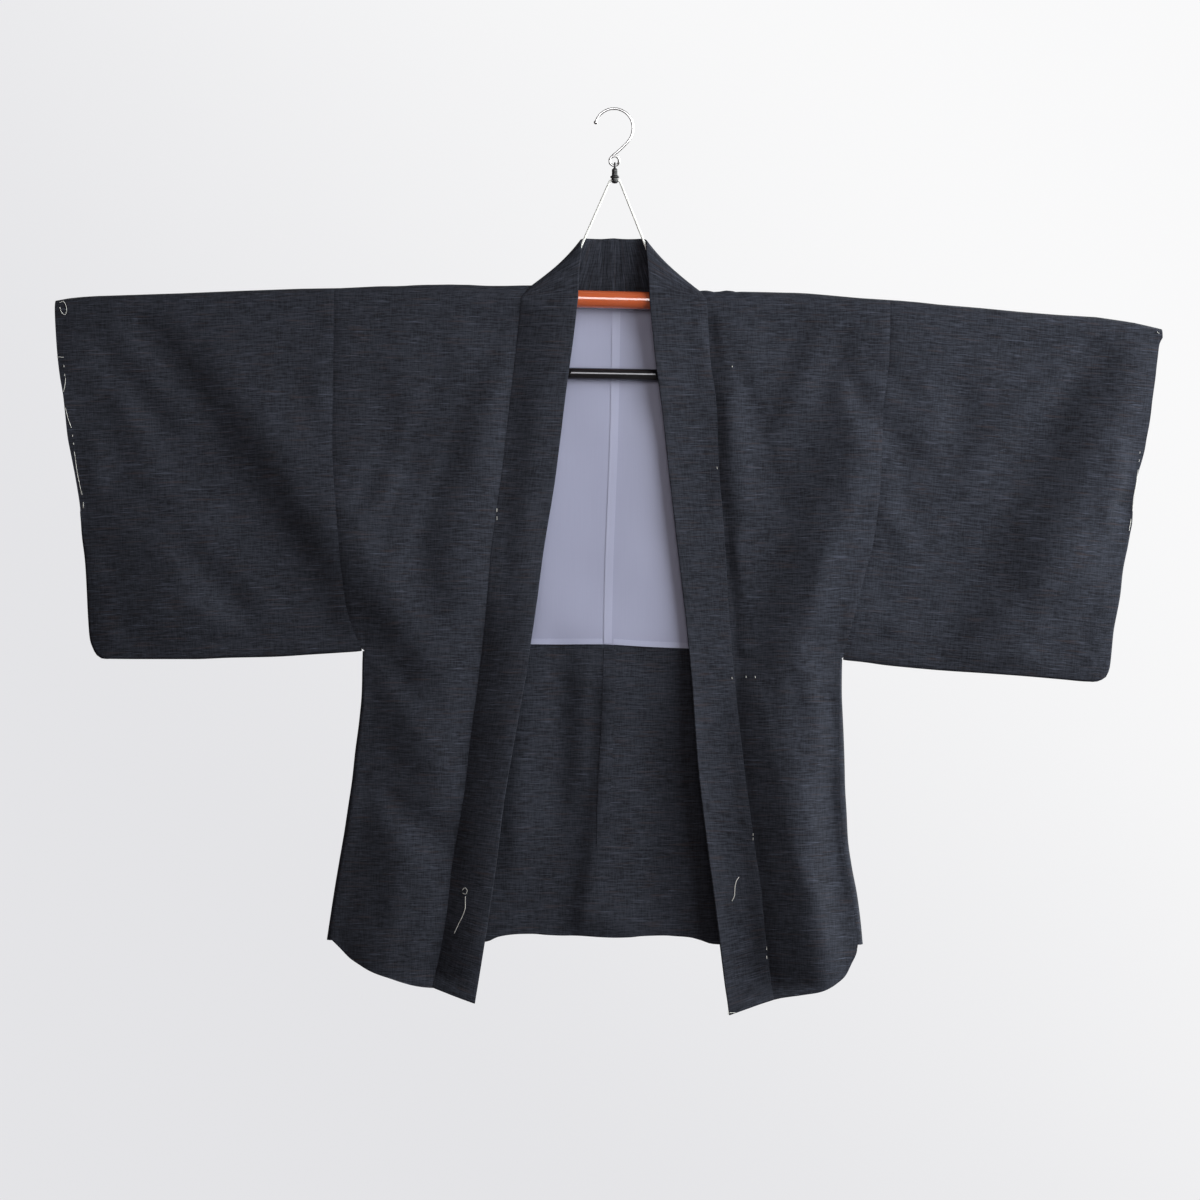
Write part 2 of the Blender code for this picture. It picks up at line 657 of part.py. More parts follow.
def inward_normals(points, reach=4.0):
    """Unit normals of the back, towards the fronts, from its slopes each way."""
    slopes = [
        (back_depth(points + step) - back_depth(points - step)) / (2 * reach)
        for step in (np.array([reach, 0]), np.array([0, reach]))
    ]
    normals = np.stack([slopes[0], -np.ones(len(points)), -slopes[1]], axis=1)
    return normals / np.linalg.norm(normals, axis=1)[:, None]


def build_body(half):
    """One body length, with the lining and the turned-up hem that lie on its back."""
    seam = armhole_line(half) - [half.sign * SEAM_GAP * 0.7, 0]
    side = side_line(half)
    collar_seam = front_stations(half)[0][::-1]
    collar_seam[0, 1] = rest_drop(collar_seam[0, 0])
    top = shoulder_row(half, seam[0, 0], collar_seam[0, 0], 30)
    hem = hem_points(half.hem, collar_seam[-1], side[-1])
    outline = np.vstack([top, collar_seam[1:], hem[1:], side[-2::-1], seam[-1:0:-1]])
    cloth = Cloth()
    beside = [collar_seam[1:-1] + [half.sign * reach, 0] for reach in (10, 24)]
    flat, triangles = fill(outline, FRONT_FOLDS, beside=beside)
    front = cloth.sheet(lift(flat, front_depth(flat)), triangles)
    n_top = len(top)

    neck_row = neckline(half)
    centre = centre_line() + [half.sign * SEAM_GAP / 2, 0]
    neck_row[-1] = centre[0]
    back_top = np.stack([np.linspace(seam[0, 0], neck_row[0, 0], n_top), np.zeros(n_top)], axis=1)
    back_top[:, 1] = rest_drop(back_top[:, 0])
    back_top[-1] = neck_row[0]
    back_hem = hem_points(BACK_HEM, centre[-1], side[-1])
    outline = np.vstack([back_top, neck_row[1:], centre[1:], back_hem[1:], side[-2::-1], seam[-1:0:-1]])

    def nearest(point_drop, line):
        return line[np.abs(line[:, 1] - point_drop).argmin()]

    lining_top = across_line(
        np.stack([np.linspace(-660, 660, 200), rest_drop(np.linspace(-660, 660, 200)) + LINING_TOP], axis=1),
        seam[1], nearest(rest_drop(0.0) + LINING_TOP, centre),
    )
    lining_hem = across_line(LINING_HEM, seam[-1], nearest(628, centre))
    edge_drop = np.interp(half.side[-3, 0], TURNUP_EDGE[:, 0], TURNUP_EDGE[:, 1])
    turnup = across_line(TURNUP_EDGE, nearest(edge_drop, side), nearest(866, centre))
    flat, triangles = fill(outline, BACK_FOLDS, (lining_top, lining_hem, turnup))
    back = cloth.sheet(lift(flat, back_depth(flat)), triangles)

    share = np.linspace(0, 1, n_top)
    arches = shoulder_arches(cloth, front[:n_top], back[:n_top])
    neck_front, neck_back = (np.array(cloth.points[row[n_top - 1]]) for row in (front, back))
    bend = neck_arch(half, neck_front, neck_back) - arches[-1]
    arches = arches + (ease((share - 0.55) / 0.45) ** 1.5)[:, None, None] * bend
    cloth.strip([front[:n_top], *(cloth.add(row) for row in arches.transpose(1, 0, 2)), back[:n_top]])
    mesh = cloth.mesh(f"body_{half.name}")
    body = thicken(place(f"body_{half.name}", mesh, "indigo_cloth"), WALL)

    normals = np.array([v.normal for v in mesh.vertices])[back]
    normals *= -np.sign(normals[:, 1:2])
    border = np.arange(len(outline))
    normals[border] = inward_normals(flat[border])
    middle = flat[triangles].mean(axis=1)
    top_at, hem_at, edge_at = (
        np.interp(middle[:, 0], *line[np.argsort(line[:, 0])].T) for line in (lining_top, lining_hem, turnup)
    )
    surface = lift(flat, back_depth(flat))
    layers = (
        ("lining", (middle[:, 1] > top_at) & (middle[:, 1] < hem_at), LINING_WALL, "lavender_lining"),
        ("hem_turnup", middle[:, 1] > edge_at, WALL, "indigo_cloth"),
    )
    for label, chosen, wall, finish in layers:
        used, faces = np.unique(triangles[chosen], return_inverse=True)
        layer = Cloth()
        layer.sheet(surface[used] + normals[used] * (WALL / 2 + SEAM_GAP + wall / 2), faces.reshape(-1, 3))
        name = f"{label}_{half.name}"
        thicken(place(name, layer.mesh(name), finish), wall)
    return body


def build_gusset(half):
    """The wedge between front and back below one sleeve, bulging outwards."""
    side = side_line(half)
    front = lift(side, front_depth(side))
    back = lift(side, back_depth(side))
    share = np.linspace(0, 1, len(side))
    inner = side + [-half.sign * 12, 0]
    gap = lean_gap(lift(inner, front_depth(inner)) - front, np.array([[0.8 * half.sign, 0.6, 0]] * len(side)))
    other = lean_gap(lift(inner, back_depth(inner)) - back, np.array([[0.8 * half.sign, -0.6, 0]] * len(side)))
    gap = np.maximum(gap, other)[:, 0]
    bulge = half.gusset_bulge[0] + (half.gusset_bulge[1] - half.gusset_bulge[0]) * ease(share * 2.5)
    cloth = Cloth()
    rows = []
    for turn in np.linspace(0, np.pi, 6):
        across = (np.sin(turn) * bulge + gap) * half.sign
        row = (front + back) / 2 + (front - back) / 2 * np.cos(turn)
        rows.append(cloth.add(row + np.stack([across, 0 * across, 0 * across], axis=1)))
    cloth.strip(rows)
    name = f"gusset_{half.name}"
    return thicken(place(name, cloth.mesh(name), "indigo_cloth"), WALL)


def collar_stations(half):
    """(seam, edge, is_front) of the collar in space, hem to centre back."""
    seam, edge = front_stations(half)
    seam[-1, 1] = rest_drop(seam[-1, 0])
    lean = np.array([0, 2.5, 0])
    front_seam = lift(seam, front_depth(seam))
    front_edge = lift(edge, front_depth(edge)) - lean
    neck_row = neckline(half)
    back_seam = lift(neck_row, back_depth(neck_row))
    bend = neck_arch(half, front_seam[-1], back_seam[0])
    keys = np.linspace(0, 1, len(half.neck_edge))
    share = np.linspace(0, 1, len(bend) + len(neck_row) + 1)[1:]
    turn = np.stack([smooth(share, keys, half.neck_edge[:, i]) for i in range(3)], axis=1) * [1, 1, -1]
    return np.vstack([front_seam, bend, back_seam]), np.vstack([front_edge, turn]), len(seam)


def build_collar():
    """The collar band from one front hem round the neck to the other."""
    shares = (0, 0.16, 0.5, 0.8, 1)
    runs = []
    for half in HALVES:
        seam, edge, fronts = collar_stations(half)
        rows = [seam + (edge - seam) * share for share in shares]
        for row, share in zip(rows[1:-1], shares[1:-1]):
            flat = row[:fronts, [0, 2]] * [1, -1]
            row[:fronts, 1] = front_depth(flat) - 2.5 * share
        panel = seam[:, [0, 2]] * [1, -1] + [half.sign * 12, 0]
        inner = lift(panel, front_depth(panel)) - seam
        inner[fronts:] = [half.sign, 0, -0.1]
        ruling = rows[1] - seam
        gap = lean_gap(inner, ruling)
        gap[fronts:-4] += NECK_EASE
        rows[0] = seam + ruling / np.linalg.norm(ruling, axis=1)[:, None] * gap
        runs.append(np.array(rows))
    left, right = runs
    whole = np.concatenate([left, right[:, -2::-1]], axis=1)
    cloth = Cloth()
    cloth.strip([cloth.add(row) for row in whole])
    return thicken(place("collar", cloth.mesh("collar"), "indigo_cloth"), BAND_WALL)


# ---------------------------------------------------------------- hanger


def finished(build, name, is_smooth=True):
    """The mesh of a closed form, its faces turned outwards."""
    bmesh.ops.recalc_face_normals(build, faces=build.faces)
    made = bpy.data.meshes.new(name)
    build.to_mesh(made)
    build.free()
    if is_smooth:
        made.shade_smooth()
    return made


def ringed(build, rings):
    """Joins rings of corners into one closed form with flat ends."""
    sides = len(rings[0])
    for a, b in zip(rings, rings[1:]):
        for i in range(sides):
            build.faces.new((a[i], b[i], b[(i + 1) % sides], a[(i + 1) % sides]))
    build.faces.new(rings[0])
    build.faces.new(rings[-1][::-1])


def turned(name, profile, sides=16):
    """A closed turned solid about the upright axis: rows of (radius, height), top to bottom."""
    build = bmesh.new()
    turn = np.linspace(0, 2 * np.pi, sides, endpoint=False)
    rings = [
        [build.verts.new(Vector((r * np.cos(a), r * np.sin(a), h)) * MM) for a in turn] for r, h in profile
    ]
    ringed(build, rings)
    return finished(build, name)


def rod(name, points, radii, sides=20):
    """A closed round bar through points in space, with a radius at each, as seen along its length."""
    points = np.asarray(points, float)
    way = np.gradient(points, axis=0)
    way /= np.linalg.norm(way, axis=1)[:, None]
    up = np.array([0, 1.0, 0])
    build = bmesh.new()
    rings = []
    for centre, direction, radius in zip(points, way, radii):
        side = np.cross(direction, up)
        side /= np.linalg.norm(side)
        other = np.cross(side, direction)
        angles = np.linspace(0, 2 * np.pi, sides, endpoint=False)
        ring = centre + radius * (np.cos(angles)[:, None] * side + np.sin(angles)[:, None] * other)
        rings.append([build.verts.new(Vector(spot) * MM) for spot in ring])
    ringed(build, rings)
    return finished(build, name)


def cord_mesh(name, points, radius, resolution):
    """A round cord or wire through points in space, as a mesh with closed ends."""
    curve = bpy.data.curves.new(name, "CURVE")
    curve.dimensions = "3D"
    curve.bevel_depth = radius * MM
    curve.bevel_resolution = resolution
    curve.use_fill_caps = True
    line = curve.splines.new("POLY")
    line.points.add(len(points) - 1)
    for target, point in zip(line.points, points):
        target.co = (*(np.asarray(point) * MM), 1)
    guide = bpy.data.objects.new(name, curve)
    bpy.context.scene.collection.objects.link(guide)
    graph = bpy.context.evaluated_depsgraph_get()
    mesh = bpy.data.meshes.new_from_object(guide.evaluated_get(graph))
    bpy.data.objects.remove(guide)
    build = bmesh.new()
    build.from_mesh(mesh)
    bmesh.ops.remove_doubles(build, verts=build.verts, dist=1e-6)
    bmesh.ops.recalc_face_normals(build, faces=build.faces)
    build.to_mesh(mesh)
    build.free()
    mesh.shade_smooth()
    return mesh


def link_mesh(name, centre, radius, wire, around=14, sides=6):
    """A round link of wire that stands across the hook's plane."""
    build = bmesh.new()
    rings = []
    for a in np.linspace(0, 2 * np.pi, around, endpoint=False):
        out = np.array([0, np.cos(a), np.sin(a)])
        ring = []
        for b in np.linspace(0, 2 * np.pi, sides, endpoint=False):
            spot = np.array(centre) + out * (radius + wire * np.cos(b))
            ring.append(build.verts.new(Vector(spot + [wire * np.sin(b), 0, 0]) * MM))
        rings.append(ring)
    for ring, after in zip(rings, rings[1:] + rings[:1]):
        for j in range(sides):
            build.faces.new((ring[j], after[j], after[(j + 1) % sides], ring[(j + 1) % sides]))
    return finished(build, name)


def ball(name, centre, radius, finish):
    """A small ball, as a helper that is joined to another piece."""
    build = bmesh.new()
    bmesh.ops.create_uvsphere(build, u_segments=10, v_segments=6, radius=radius * MM)
    bmesh.ops.translate(build, verts=build.verts, vec=Vector(centre) * MM)
    return place(name, finished(build, name), finish)


HOOK_RADIUS = 22.3
HOOK_CENTRE = (0.0, HOOK_RADIUS - WIRE_RADIUS)
EYE_RADIUS = 5.5
EYE_CENTRE = (0.5, 60.0)
SWIVEL_ACROSS = 1.0
CORD_HOLE_DROP = 82.5
CORD_FEET = ((-61.8, 0.0), (59.2, 0.0))  # across and depth where the cord enters the tube


def tube_axis(across):
    """Height of the middle of the tube."""
    return -rest_drop(np.asarray(across, float))


def build_hook():
    """Steel hook: arc over the rail, shank down to an eye, with a ball at the free end."""
    cx, cd = HOOK_CENTRE
    turn = np.radians(np.linspace(164, 0, 16))
    arc = [(cx + HOOK_RADIUS * np.cos(a), 0, -(cd - HOOK_RADIUS * np.sin(a))) for a in turn]
    shank = [(20.9, 0, -29.5), (17.0, 0, -36.5), (11.0, 0, -43.0), (4.5, 0, -49.0), (-1.5, 0, -54.0)]
    ex, ed = EYE_CENTRE
    eye = [
        (ex + EYE_RADIUS * np.cos(a), -3.4 * ease((i - 5) / 7), -(ed - EYE_RADIUS * np.sin(a)))
        for i, a in enumerate(np.radians(np.linspace(168, 500, 15)))
    ]
    mesh = cord_mesh("hanger_hook", arc + shank + eye, WIRE_RADIUS, 2)
    hook = place("hanger_hook", mesh, "steel")
    boolean(hook, ball("hook_ball", arc[0], 2.3, "steel"), "UNION")


def build_swivel():
    """Swivel: a ring through the eye, a dark body with a flange, and a knob bored for the cord."""
    bottom = -(EYE_CENTRE[1] + EYE_RADIUS)
    link_radius, link_wire = 3.0, 1.1
    profile = (
        (1.6, bottom - 2.4), (2.2, bottom - 3.6), (3.4, bottom - 4.6), (3.5, bottom - 11.4), (5.4, bottom - 12.6),
        (5.4, bottom - 14.0), (3.9, bottom - 14.8), (4.0, bottom - 19.0), (2.6, bottom - 20.6),
    )
    body = place("hanger_swivel", turned("hanger_swivel", profile), "dark_plastic")
    body.data.transform(Matrix.Translation((SWIVEL_ACROSS * MM, 0, 0)))
    link = link_mesh("swivel_link", (SWIVEL_ACROSS, 0, bottom), link_radius, link_wire)
    boolean(body, place("swivel_link", link, "dark_plastic"), "UNION")
    hole = rod(
        "swivel_bore", [(SWIVEL_ACROSS + s, 0, -CORD_HOLE_DROP) for s in (-8, 8)], [CORD_RADIUS + 0.35] * 2, 16
    )
    boolean(body, place("swivel_bore", hole, "dark_plastic"), "DIFFERENCE")


def cord_line():
    """The cord from one knot under the tube, through the swivel, to the other."""
    left, right = (np.array([x, y, tube_axis(x)]) for x, y in CORD_FEET)
    top = np.array([SWIVEL_ACROSS, 0, -CORD_HOLE_DROP])
    bend = table((-6.4, -2.6), (-5.4, -0.9), (-4.2, -0.15), (4.2, -0.15), (5.4, -0.9), (6.4, -2.6))
    turns = [top + (dx, 0, dz) for dx, dz in bend]
    way = [(foot - turn) / np.linalg.norm(foot - turn) for foot, turn in ((left, turns[0]), (right, turns[-1]))]
    low = [foot + w * 15.8 for foot, w in zip((left, right), way)]
    return [low[0], *turns, low[1]], way


def build_cord():
    """White cord in a V, held by a knot under the tube at each end."""
    line, _ = cord_line()
    cord = place("hanger_cord", cord_mesh("hanger_cord", line, CORD_RADIUS, 2), "white_cord")
    for i, end in enumerate((line[0], line[-1])):
        boolean(cord, ball(f"cord_knot_{i}", end, 2.9, "white_cord"), "UNION")


def build_tube():
    """The upper tube, thicker in its middle run, bored for the cord."""
    bends = REST_LINE[1:5]
    middle = bends[1:3]
    ends = (bends[0] + [9, -0.3], bends[-1] - [9, 0.7])
    left_way = (middle[0] - ends[0]) / np.linalg.norm(middle[0] - ends[0])
    right_way = (ends[1] - middle[1]) / np.linalg.norm(ends[1] - middle[1])
    step = 6.0
    rows = [
        (ends[0], TUBE_END_RADIUS - 1.5), (ends[0] + left_way * 1.5, TUBE_END_RADIUS),
        (middle[0] - left_way * step, TUBE_END_RADIUS), (middle[0] - left_way * (step - 1.2), TUBE_RADIUS),
        (middle[0] + [step, 0.15], TUBE_RADIUS), (middle[1] - [step, 0.15], TUBE_RADIUS),
        (middle[1] + right_way * (step - 1.2), TUBE_RADIUS), (middle[1] + right_way * step, TUBE_END_RADIUS),
        (ends[1] - right_way * 1.5, TUBE_END_RADIUS), (ends[1], TUBE_END_RADIUS - 1.5),
    ]
    points = [(p[0], 0, -p[1]) for p, _ in rows]
    tube = place("hanger_tube", rod("hanger_tube", points, [r for _, r in rows], 24), "orange_tube")
    line, way = cord_line()
    for i, (end, direction) in enumerate(zip((line[0], line[-1]), way)):
        bore = rod(f"cord_bore_{i}", [end - direction * 32, end + direction * 6], [CORD_RADIUS + 0.35] * 2, 12)
        boolean(tube, place(f"cord_bore_{i}", bore, "orange_tube"), "DIFFERENCE")


BAR_ENDS = table((-165, 307.6), (160, 313.8))
CARRIERS = (("left", -142.0), ("right", 138.0))


def build_bar():
    """The lower bar and the two plain carriers that hang it from the tube."""
    (x0, d0), (x1, d1) = BAR_ENDS
    slope = np.array([x1 - x0, d1 - d0]) / np.hypot(x1 - x0, d1 - d0)
    rows = [(0, BAR_RADIUS - 1.2), (1.2, BAR_RADIUS), (-1.2, BAR_RADIUS), (0, BAR_RADIUS - 1.2)]
    spots = [BAR_ENDS[0], BAR_ENDS[0] + slope * 1.2, BAR_ENDS[1] - slope * 1.2, BAR_ENDS[1]]
    mesh = rod("hanger_bar", [(x, 0, -d) for x, d in spots], [r for _, r in rows], 20)
    place("hanger_bar", mesh, "black_bar")
    for name, x in CARRIERS:
        low = np.interp(x, BAR_ENDS[:, 0], BAR_ENDS[:, 1])
        high = rest_drop(x)
        build = bmesh.new()
        bmesh.ops.create_cube(build, size=1.0)
        size = Vector((8.0, 5.0, (low + 1) - (high + 4))) * MM
        bmesh.ops.scale(build, verts=build.verts, vec=size)
        bmesh.ops.translate(build, verts=build.verts, vec=Vector((x, 0, -(low + 1 + high + 4) / 2)) * MM)
        block = finished(build, f"hanger_carrier_{name}", is_smooth=False)
        carrier = place(f"hanger_carrier_{name}", block, "dark_plastic")
        ring = rod(f"carrier_ring_{name}", [(x - 4, 0, -low), (x + 4, 0, -low)], [BAR_RADIUS + 1.9] * 2, 20)
        boolean(carrier, place(f"carrier_ring_{name}", ring, "dark_plastic"), "UNION")
        bore = rod(
            f"carrier_bore_{name}",
            [(x + s, 0, -(low + s * slope[1])) for s in (-10, 10)],
            [BAR_RADIUS + SEAM_GAP] * 2,
            20,
        )
        boolean(carrier, place(f"carrier_bore_{name}", bore, "dark_plastic"), "DIFFERENCE")
        saddle = rod(
            f"carrier_saddle_{name}",
            [(x + s, 0, tube_axis(x + s)) for s in (-10, 10)],
            [TUBE_RADIUS + SEAM_GAP] * 2,
            24,
        )
        boolean(carrier, place(f"carrier_saddle_{name}", saddle, "dark_plastic"), "DIFFERENCE")


def main():
    """Clears the scene and builds every piece."""
    for old in list(bpy.data.objects):
        bpy.data.objects.remove(old)
    for name, finish in FINISHES.items():
        finish.material(name)
    for half in HALVES:
        build_sleeve(half)
        build_body(half)
        build_gusset(half)
    build_collar()
    build_hook()
    build_swivel()
    build_cord()
    build_tube()
    build_bar()


main()
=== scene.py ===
"""A haori jacket hung flat on a kimono hanger: slub cloth, part lining, basting threads and hanger.

Sizes are millimetres until a mesh is made. The plane of the cloth is given by `across` (to the right
of the hook, as one stands before the open fronts) and `drop` (below the seat of the hook). Depth is
negative towards the fronts and positive towards the back.
"""

import logging
import math
from collections.abc import Callable
from dataclasses import dataclass, field
from enum import Enum

import bmesh
import bpy
import numpy as np
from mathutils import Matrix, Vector


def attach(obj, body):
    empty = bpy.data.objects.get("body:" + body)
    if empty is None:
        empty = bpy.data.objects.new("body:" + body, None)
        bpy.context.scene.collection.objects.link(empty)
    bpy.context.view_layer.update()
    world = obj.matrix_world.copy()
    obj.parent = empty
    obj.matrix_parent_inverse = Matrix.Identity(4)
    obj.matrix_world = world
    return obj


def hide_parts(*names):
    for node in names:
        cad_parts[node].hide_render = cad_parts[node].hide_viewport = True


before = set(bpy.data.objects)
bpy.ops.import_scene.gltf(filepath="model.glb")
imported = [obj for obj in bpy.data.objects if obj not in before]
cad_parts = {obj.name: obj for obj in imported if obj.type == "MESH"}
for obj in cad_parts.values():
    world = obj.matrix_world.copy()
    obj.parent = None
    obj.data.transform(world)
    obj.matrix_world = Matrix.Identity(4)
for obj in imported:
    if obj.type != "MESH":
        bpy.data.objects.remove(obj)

Array = np.ndarray
MM = 0.001
FINE_STEPS = 500  # steps on a smooth line before it is measured out evenly
FINE_ROWS = 60  # steps on a line across from seam to seam
FOLD_BOTTOM = 0.25  # share of a fold's width over which its bottom is rounded
SHARP_EDGE = math.radians(50)  # faces that meet at more than this keep a sharp edge
log = logging.getLogger("haori")


class Slot(Enum):
    """Material slots."""

    CLOTH = "cloth"
    LINING = "lining"
    STEEL = "steel"
    DARK = "dark_plastic"
    CORD = "white_cord"
    TUBE = "orange_tube"
    BAR = "black_bar"


# ---------------------------------------------------------------- numbers


def table(*rows: tuple) -> Array:
    """The rows of a short table as an array, one column for each value."""
    return np.array(rows, float)


def ease(value: Array) -> Array:
    """Smooth step from 0 at 0 to 1 at 1: 3t^2 - 2t^3."""
    t = np.clip(value, 0, 1)
    return t * t * (3 - 2 * t)


def grows(value: Array, start: float, end: float) -> Array:
    """Smooth step from 0 at `start` to 1 at `end`, which may also lie below it."""
    return ease((value - start) / (end - start))


def smooth(at: Array, keys: Array, values: Array) -> Array:
    """Reads a smooth curve through rows of a table, by cubic Hermite pieces that never overshoot.

    The slope at a row is the harmonic mean of the slopes on its two sides, and 0 at a turning place.

    Args:
        at: where to read it.
        keys: the rising column.
        values: the column that is read.

    Returns:
        One value for each place in `at`.
    """
    keys, values = np.asarray(keys, float), np.asarray(values, float)
    rise = np.diff(values) / np.diff(keys)
    same = rise[:-1] * rise[1:] > 0
    mean = 2 * rise[:-1] * rise[1:] / np.where(same, rise[:-1] + rise[1:], 1)
    slope = np.concatenate([rise[:1], np.where(same, mean, 0), rise[-1:]])
    at = np.clip(at, keys[0], keys[-1])
    i = np.clip(np.searchsorted(keys, at, side="right") - 1, 0, len(keys) - 2)
    h = keys[i + 1] - keys[i]
    t = (at - keys[i]) / h
    return (
        (2 * t**3 - 3 * t**2 + 1) * values[i]
        + (t**3 - 2 * t**2 + t) * h * slope[i]
        + (3 * t**2 - 2 * t**3) * values[i + 1]
        + (t**3 - t**2) * h * slope[i + 1]
    )


def read_rows(at: Array, keys: Array, rows: Array) -> Array:
    """Every column of a table read along smooth curves, one row for each place in `at`."""
    return np.stack([smooth(at, keys, column) for column in rows.T], axis=1)


def across_at(line: Array, drops: Array) -> Array:
    """Where a smooth falling line lies across at given drops."""
    return smooth(drops, line[:, 1], line[:, 0])


def falling(line: Array, drops: Array) -> Array:
    """Places on a smooth falling line at given drops."""
    return np.stack([across_at(line, drops), drops], axis=1)


def level_at(rows: Array, across: Array) -> Array:
    """Places on straight lines through the rows of a table, at given places across."""
    return np.stack([across, np.interp(across, rows[:, 0], rows[:, 1])], axis=1)


def run_of(line: Array) -> Array:
    """Length along an open line at each of its points."""
    return np.concatenate([[0.0], np.cumsum(np.linalg.norm(np.diff(line, axis=0), axis=1))])


def at_shares(line: Array, shares: Array) -> Array:
    """Points at shares of the length of an open line.

    Args:
        line: its points, one row each.
        shares: from 0 at its start to 1 at its end.

    Returns:
        One row for each share.
    """
    run = run_of(line)
    return np.stack([np.interp(shares * run[-1], run, column) for column in line.T], axis=1)


def curve(rows: Array, count: int) -> Array:
    """Evenly spaced points on a smooth line through the rows.

    Args:
        rows: places on the line, one row each.
        count: how many steps to take.

    Returns:
        count + 1 points, both ends among them.
    """
    keys = run_of(rows)
    fine = read_rows(np.linspace(0, keys[-1], FINE_STEPS), keys, rows)
    return at_shares(fine, np.linspace(0, 1, count + 1))


def along(points: Array, line: Array) -> tuple[Array, Array]:
    """Nearest place on an open line.

    Args:
        points: places in the plane, one row each.
        line: the line's points.

    Returns:
        Share of the line's length, and distance from it, negative on its left.
    """
    start, step = line[:-1], np.diff(line, axis=0)
    length = np.linalg.norm(step, axis=1)
    offset = points[:, None, :] - start[None]
    share = np.clip((offset * step).sum(2) / length**2, 0, 1)
    miss = offset - share[..., None] * step
    distance = np.linalg.norm(miss, axis=2)
    best = distance.argmin(axis=1)
    rows = np.arange(len(points))
    run = run_of(line)
    t = (run[best] + share[rows, best] * length[best]) / run[-1]
    cross = step[best, 0] * miss[rows, best, 1] - step[best, 1] * miss[rows, best, 0]
    return t, np.where(cross < 0, 1, -1) * distance[rows, best]


# ---------------------------------------------------------------- the garment's cut

REST_LINE = table(
    (-656, 235.5), (-640, 233.3), (-625, 232.2), (-608, 231.6), (-509, 228.4), (-439, 225.5), (-368, 223),
    (-321, 222.3), (-274, 220), (-251, 220), (-228, 218.3), (-204, 218.4), (-181, 217.5), (-157, 220),
    (-134, 221.4), (-108, 222.2), (106, 224), (113, 221.6), (119, 222), (125, 225.3), (134, 224.9),
    (148, 226.1), (171, 226.6), (195, 227.6), (218, 227.8), (242, 229.7), (289, 234), (336, 237),
    (359, 239), (382, 241.6), (429, 245.5), (476, 250), (500, 252), (523, 253.8), (567, 256.4),
    (598, 260.4), (612, 262.2), (626, 264.8), (640, 267.6), (646, 269)
)
REST_RADIUS = table(
    (-656, 10.5), (-640, 11.3), (-608, 12.2), (567, 12.2), (598, 11.7), (626, 10.6), (646, 9.8)
)
HALF_GAP = table((0, 12.2), (20, 12.8), (100, 14), (300, 15), (500, 19), (830, 22))
CENTRE = table((0, 225), (-3, 378), (-9, 545), (-12, 693), (-18, 819), (-19, 867), (-20, 972.8))
BACK_HEM = table(
    (-330.5, 975), (-251, 977.5), (-151, 979.5), (-137, 973.8), (-123, 971.3), (-109, 970.3), (-95, 970.2),
    (-81, 971.4), (-60, 972.2), (-39, 971.6), (-20, 972.8), (3, 973.9), (18, 973.8), (32, 972.6), (60, 972),
    (74, 972.9), (88, 973.9), (102, 977.4), (116, 982), (160, 984), (206, 985), (285, 980)
)
LINING_HEM = table((-297, 633), (-97, 628), (-9, 628), (32, 630.5), (88, 633), (270, 643))
TURNUP_EDGE = table((-330, 869), (-141, 867), (-20, 866), (32, 868), (109, 873), (290, 880))
NECKLINE = table((-70, 223), (-46, 225), (0, 225), (48, 225), (73, 223.5))


@dataclass(frozen=True)
class Half:
    """The outlines of one half of the garment, each a table of (across, drop)."""

    name: str
    sign: int  # -1 on the left, 1 on the right
    tilt: float  # droop of the sleeve's threads, degrees
    cuff: Array
    closed: Array
    armhole: Array
    side: Array
    hem: Array
    seam: Array
    edge: Array
    neck_edge: Array  # (across, depth, drop)
    neck: Array  # (across, depth, drop)
    gusset_bulge: tuple[float, float]  # how far the gusset stands out, at its top and lower down
    band: float  # width of the collar
    lean: tuple[float, float, float]  # how far the collar's free edge stands forward: hem, middle, neck
    roll: float = 0.0  # how round the collar is across: 0 straight, 1 level at its free edge

    def rise(self, share: Array) -> Array:
        """Share of the lean reached at a share of the collar's width from its seam."""
        return share * (1 + self.roll * (1 - share))


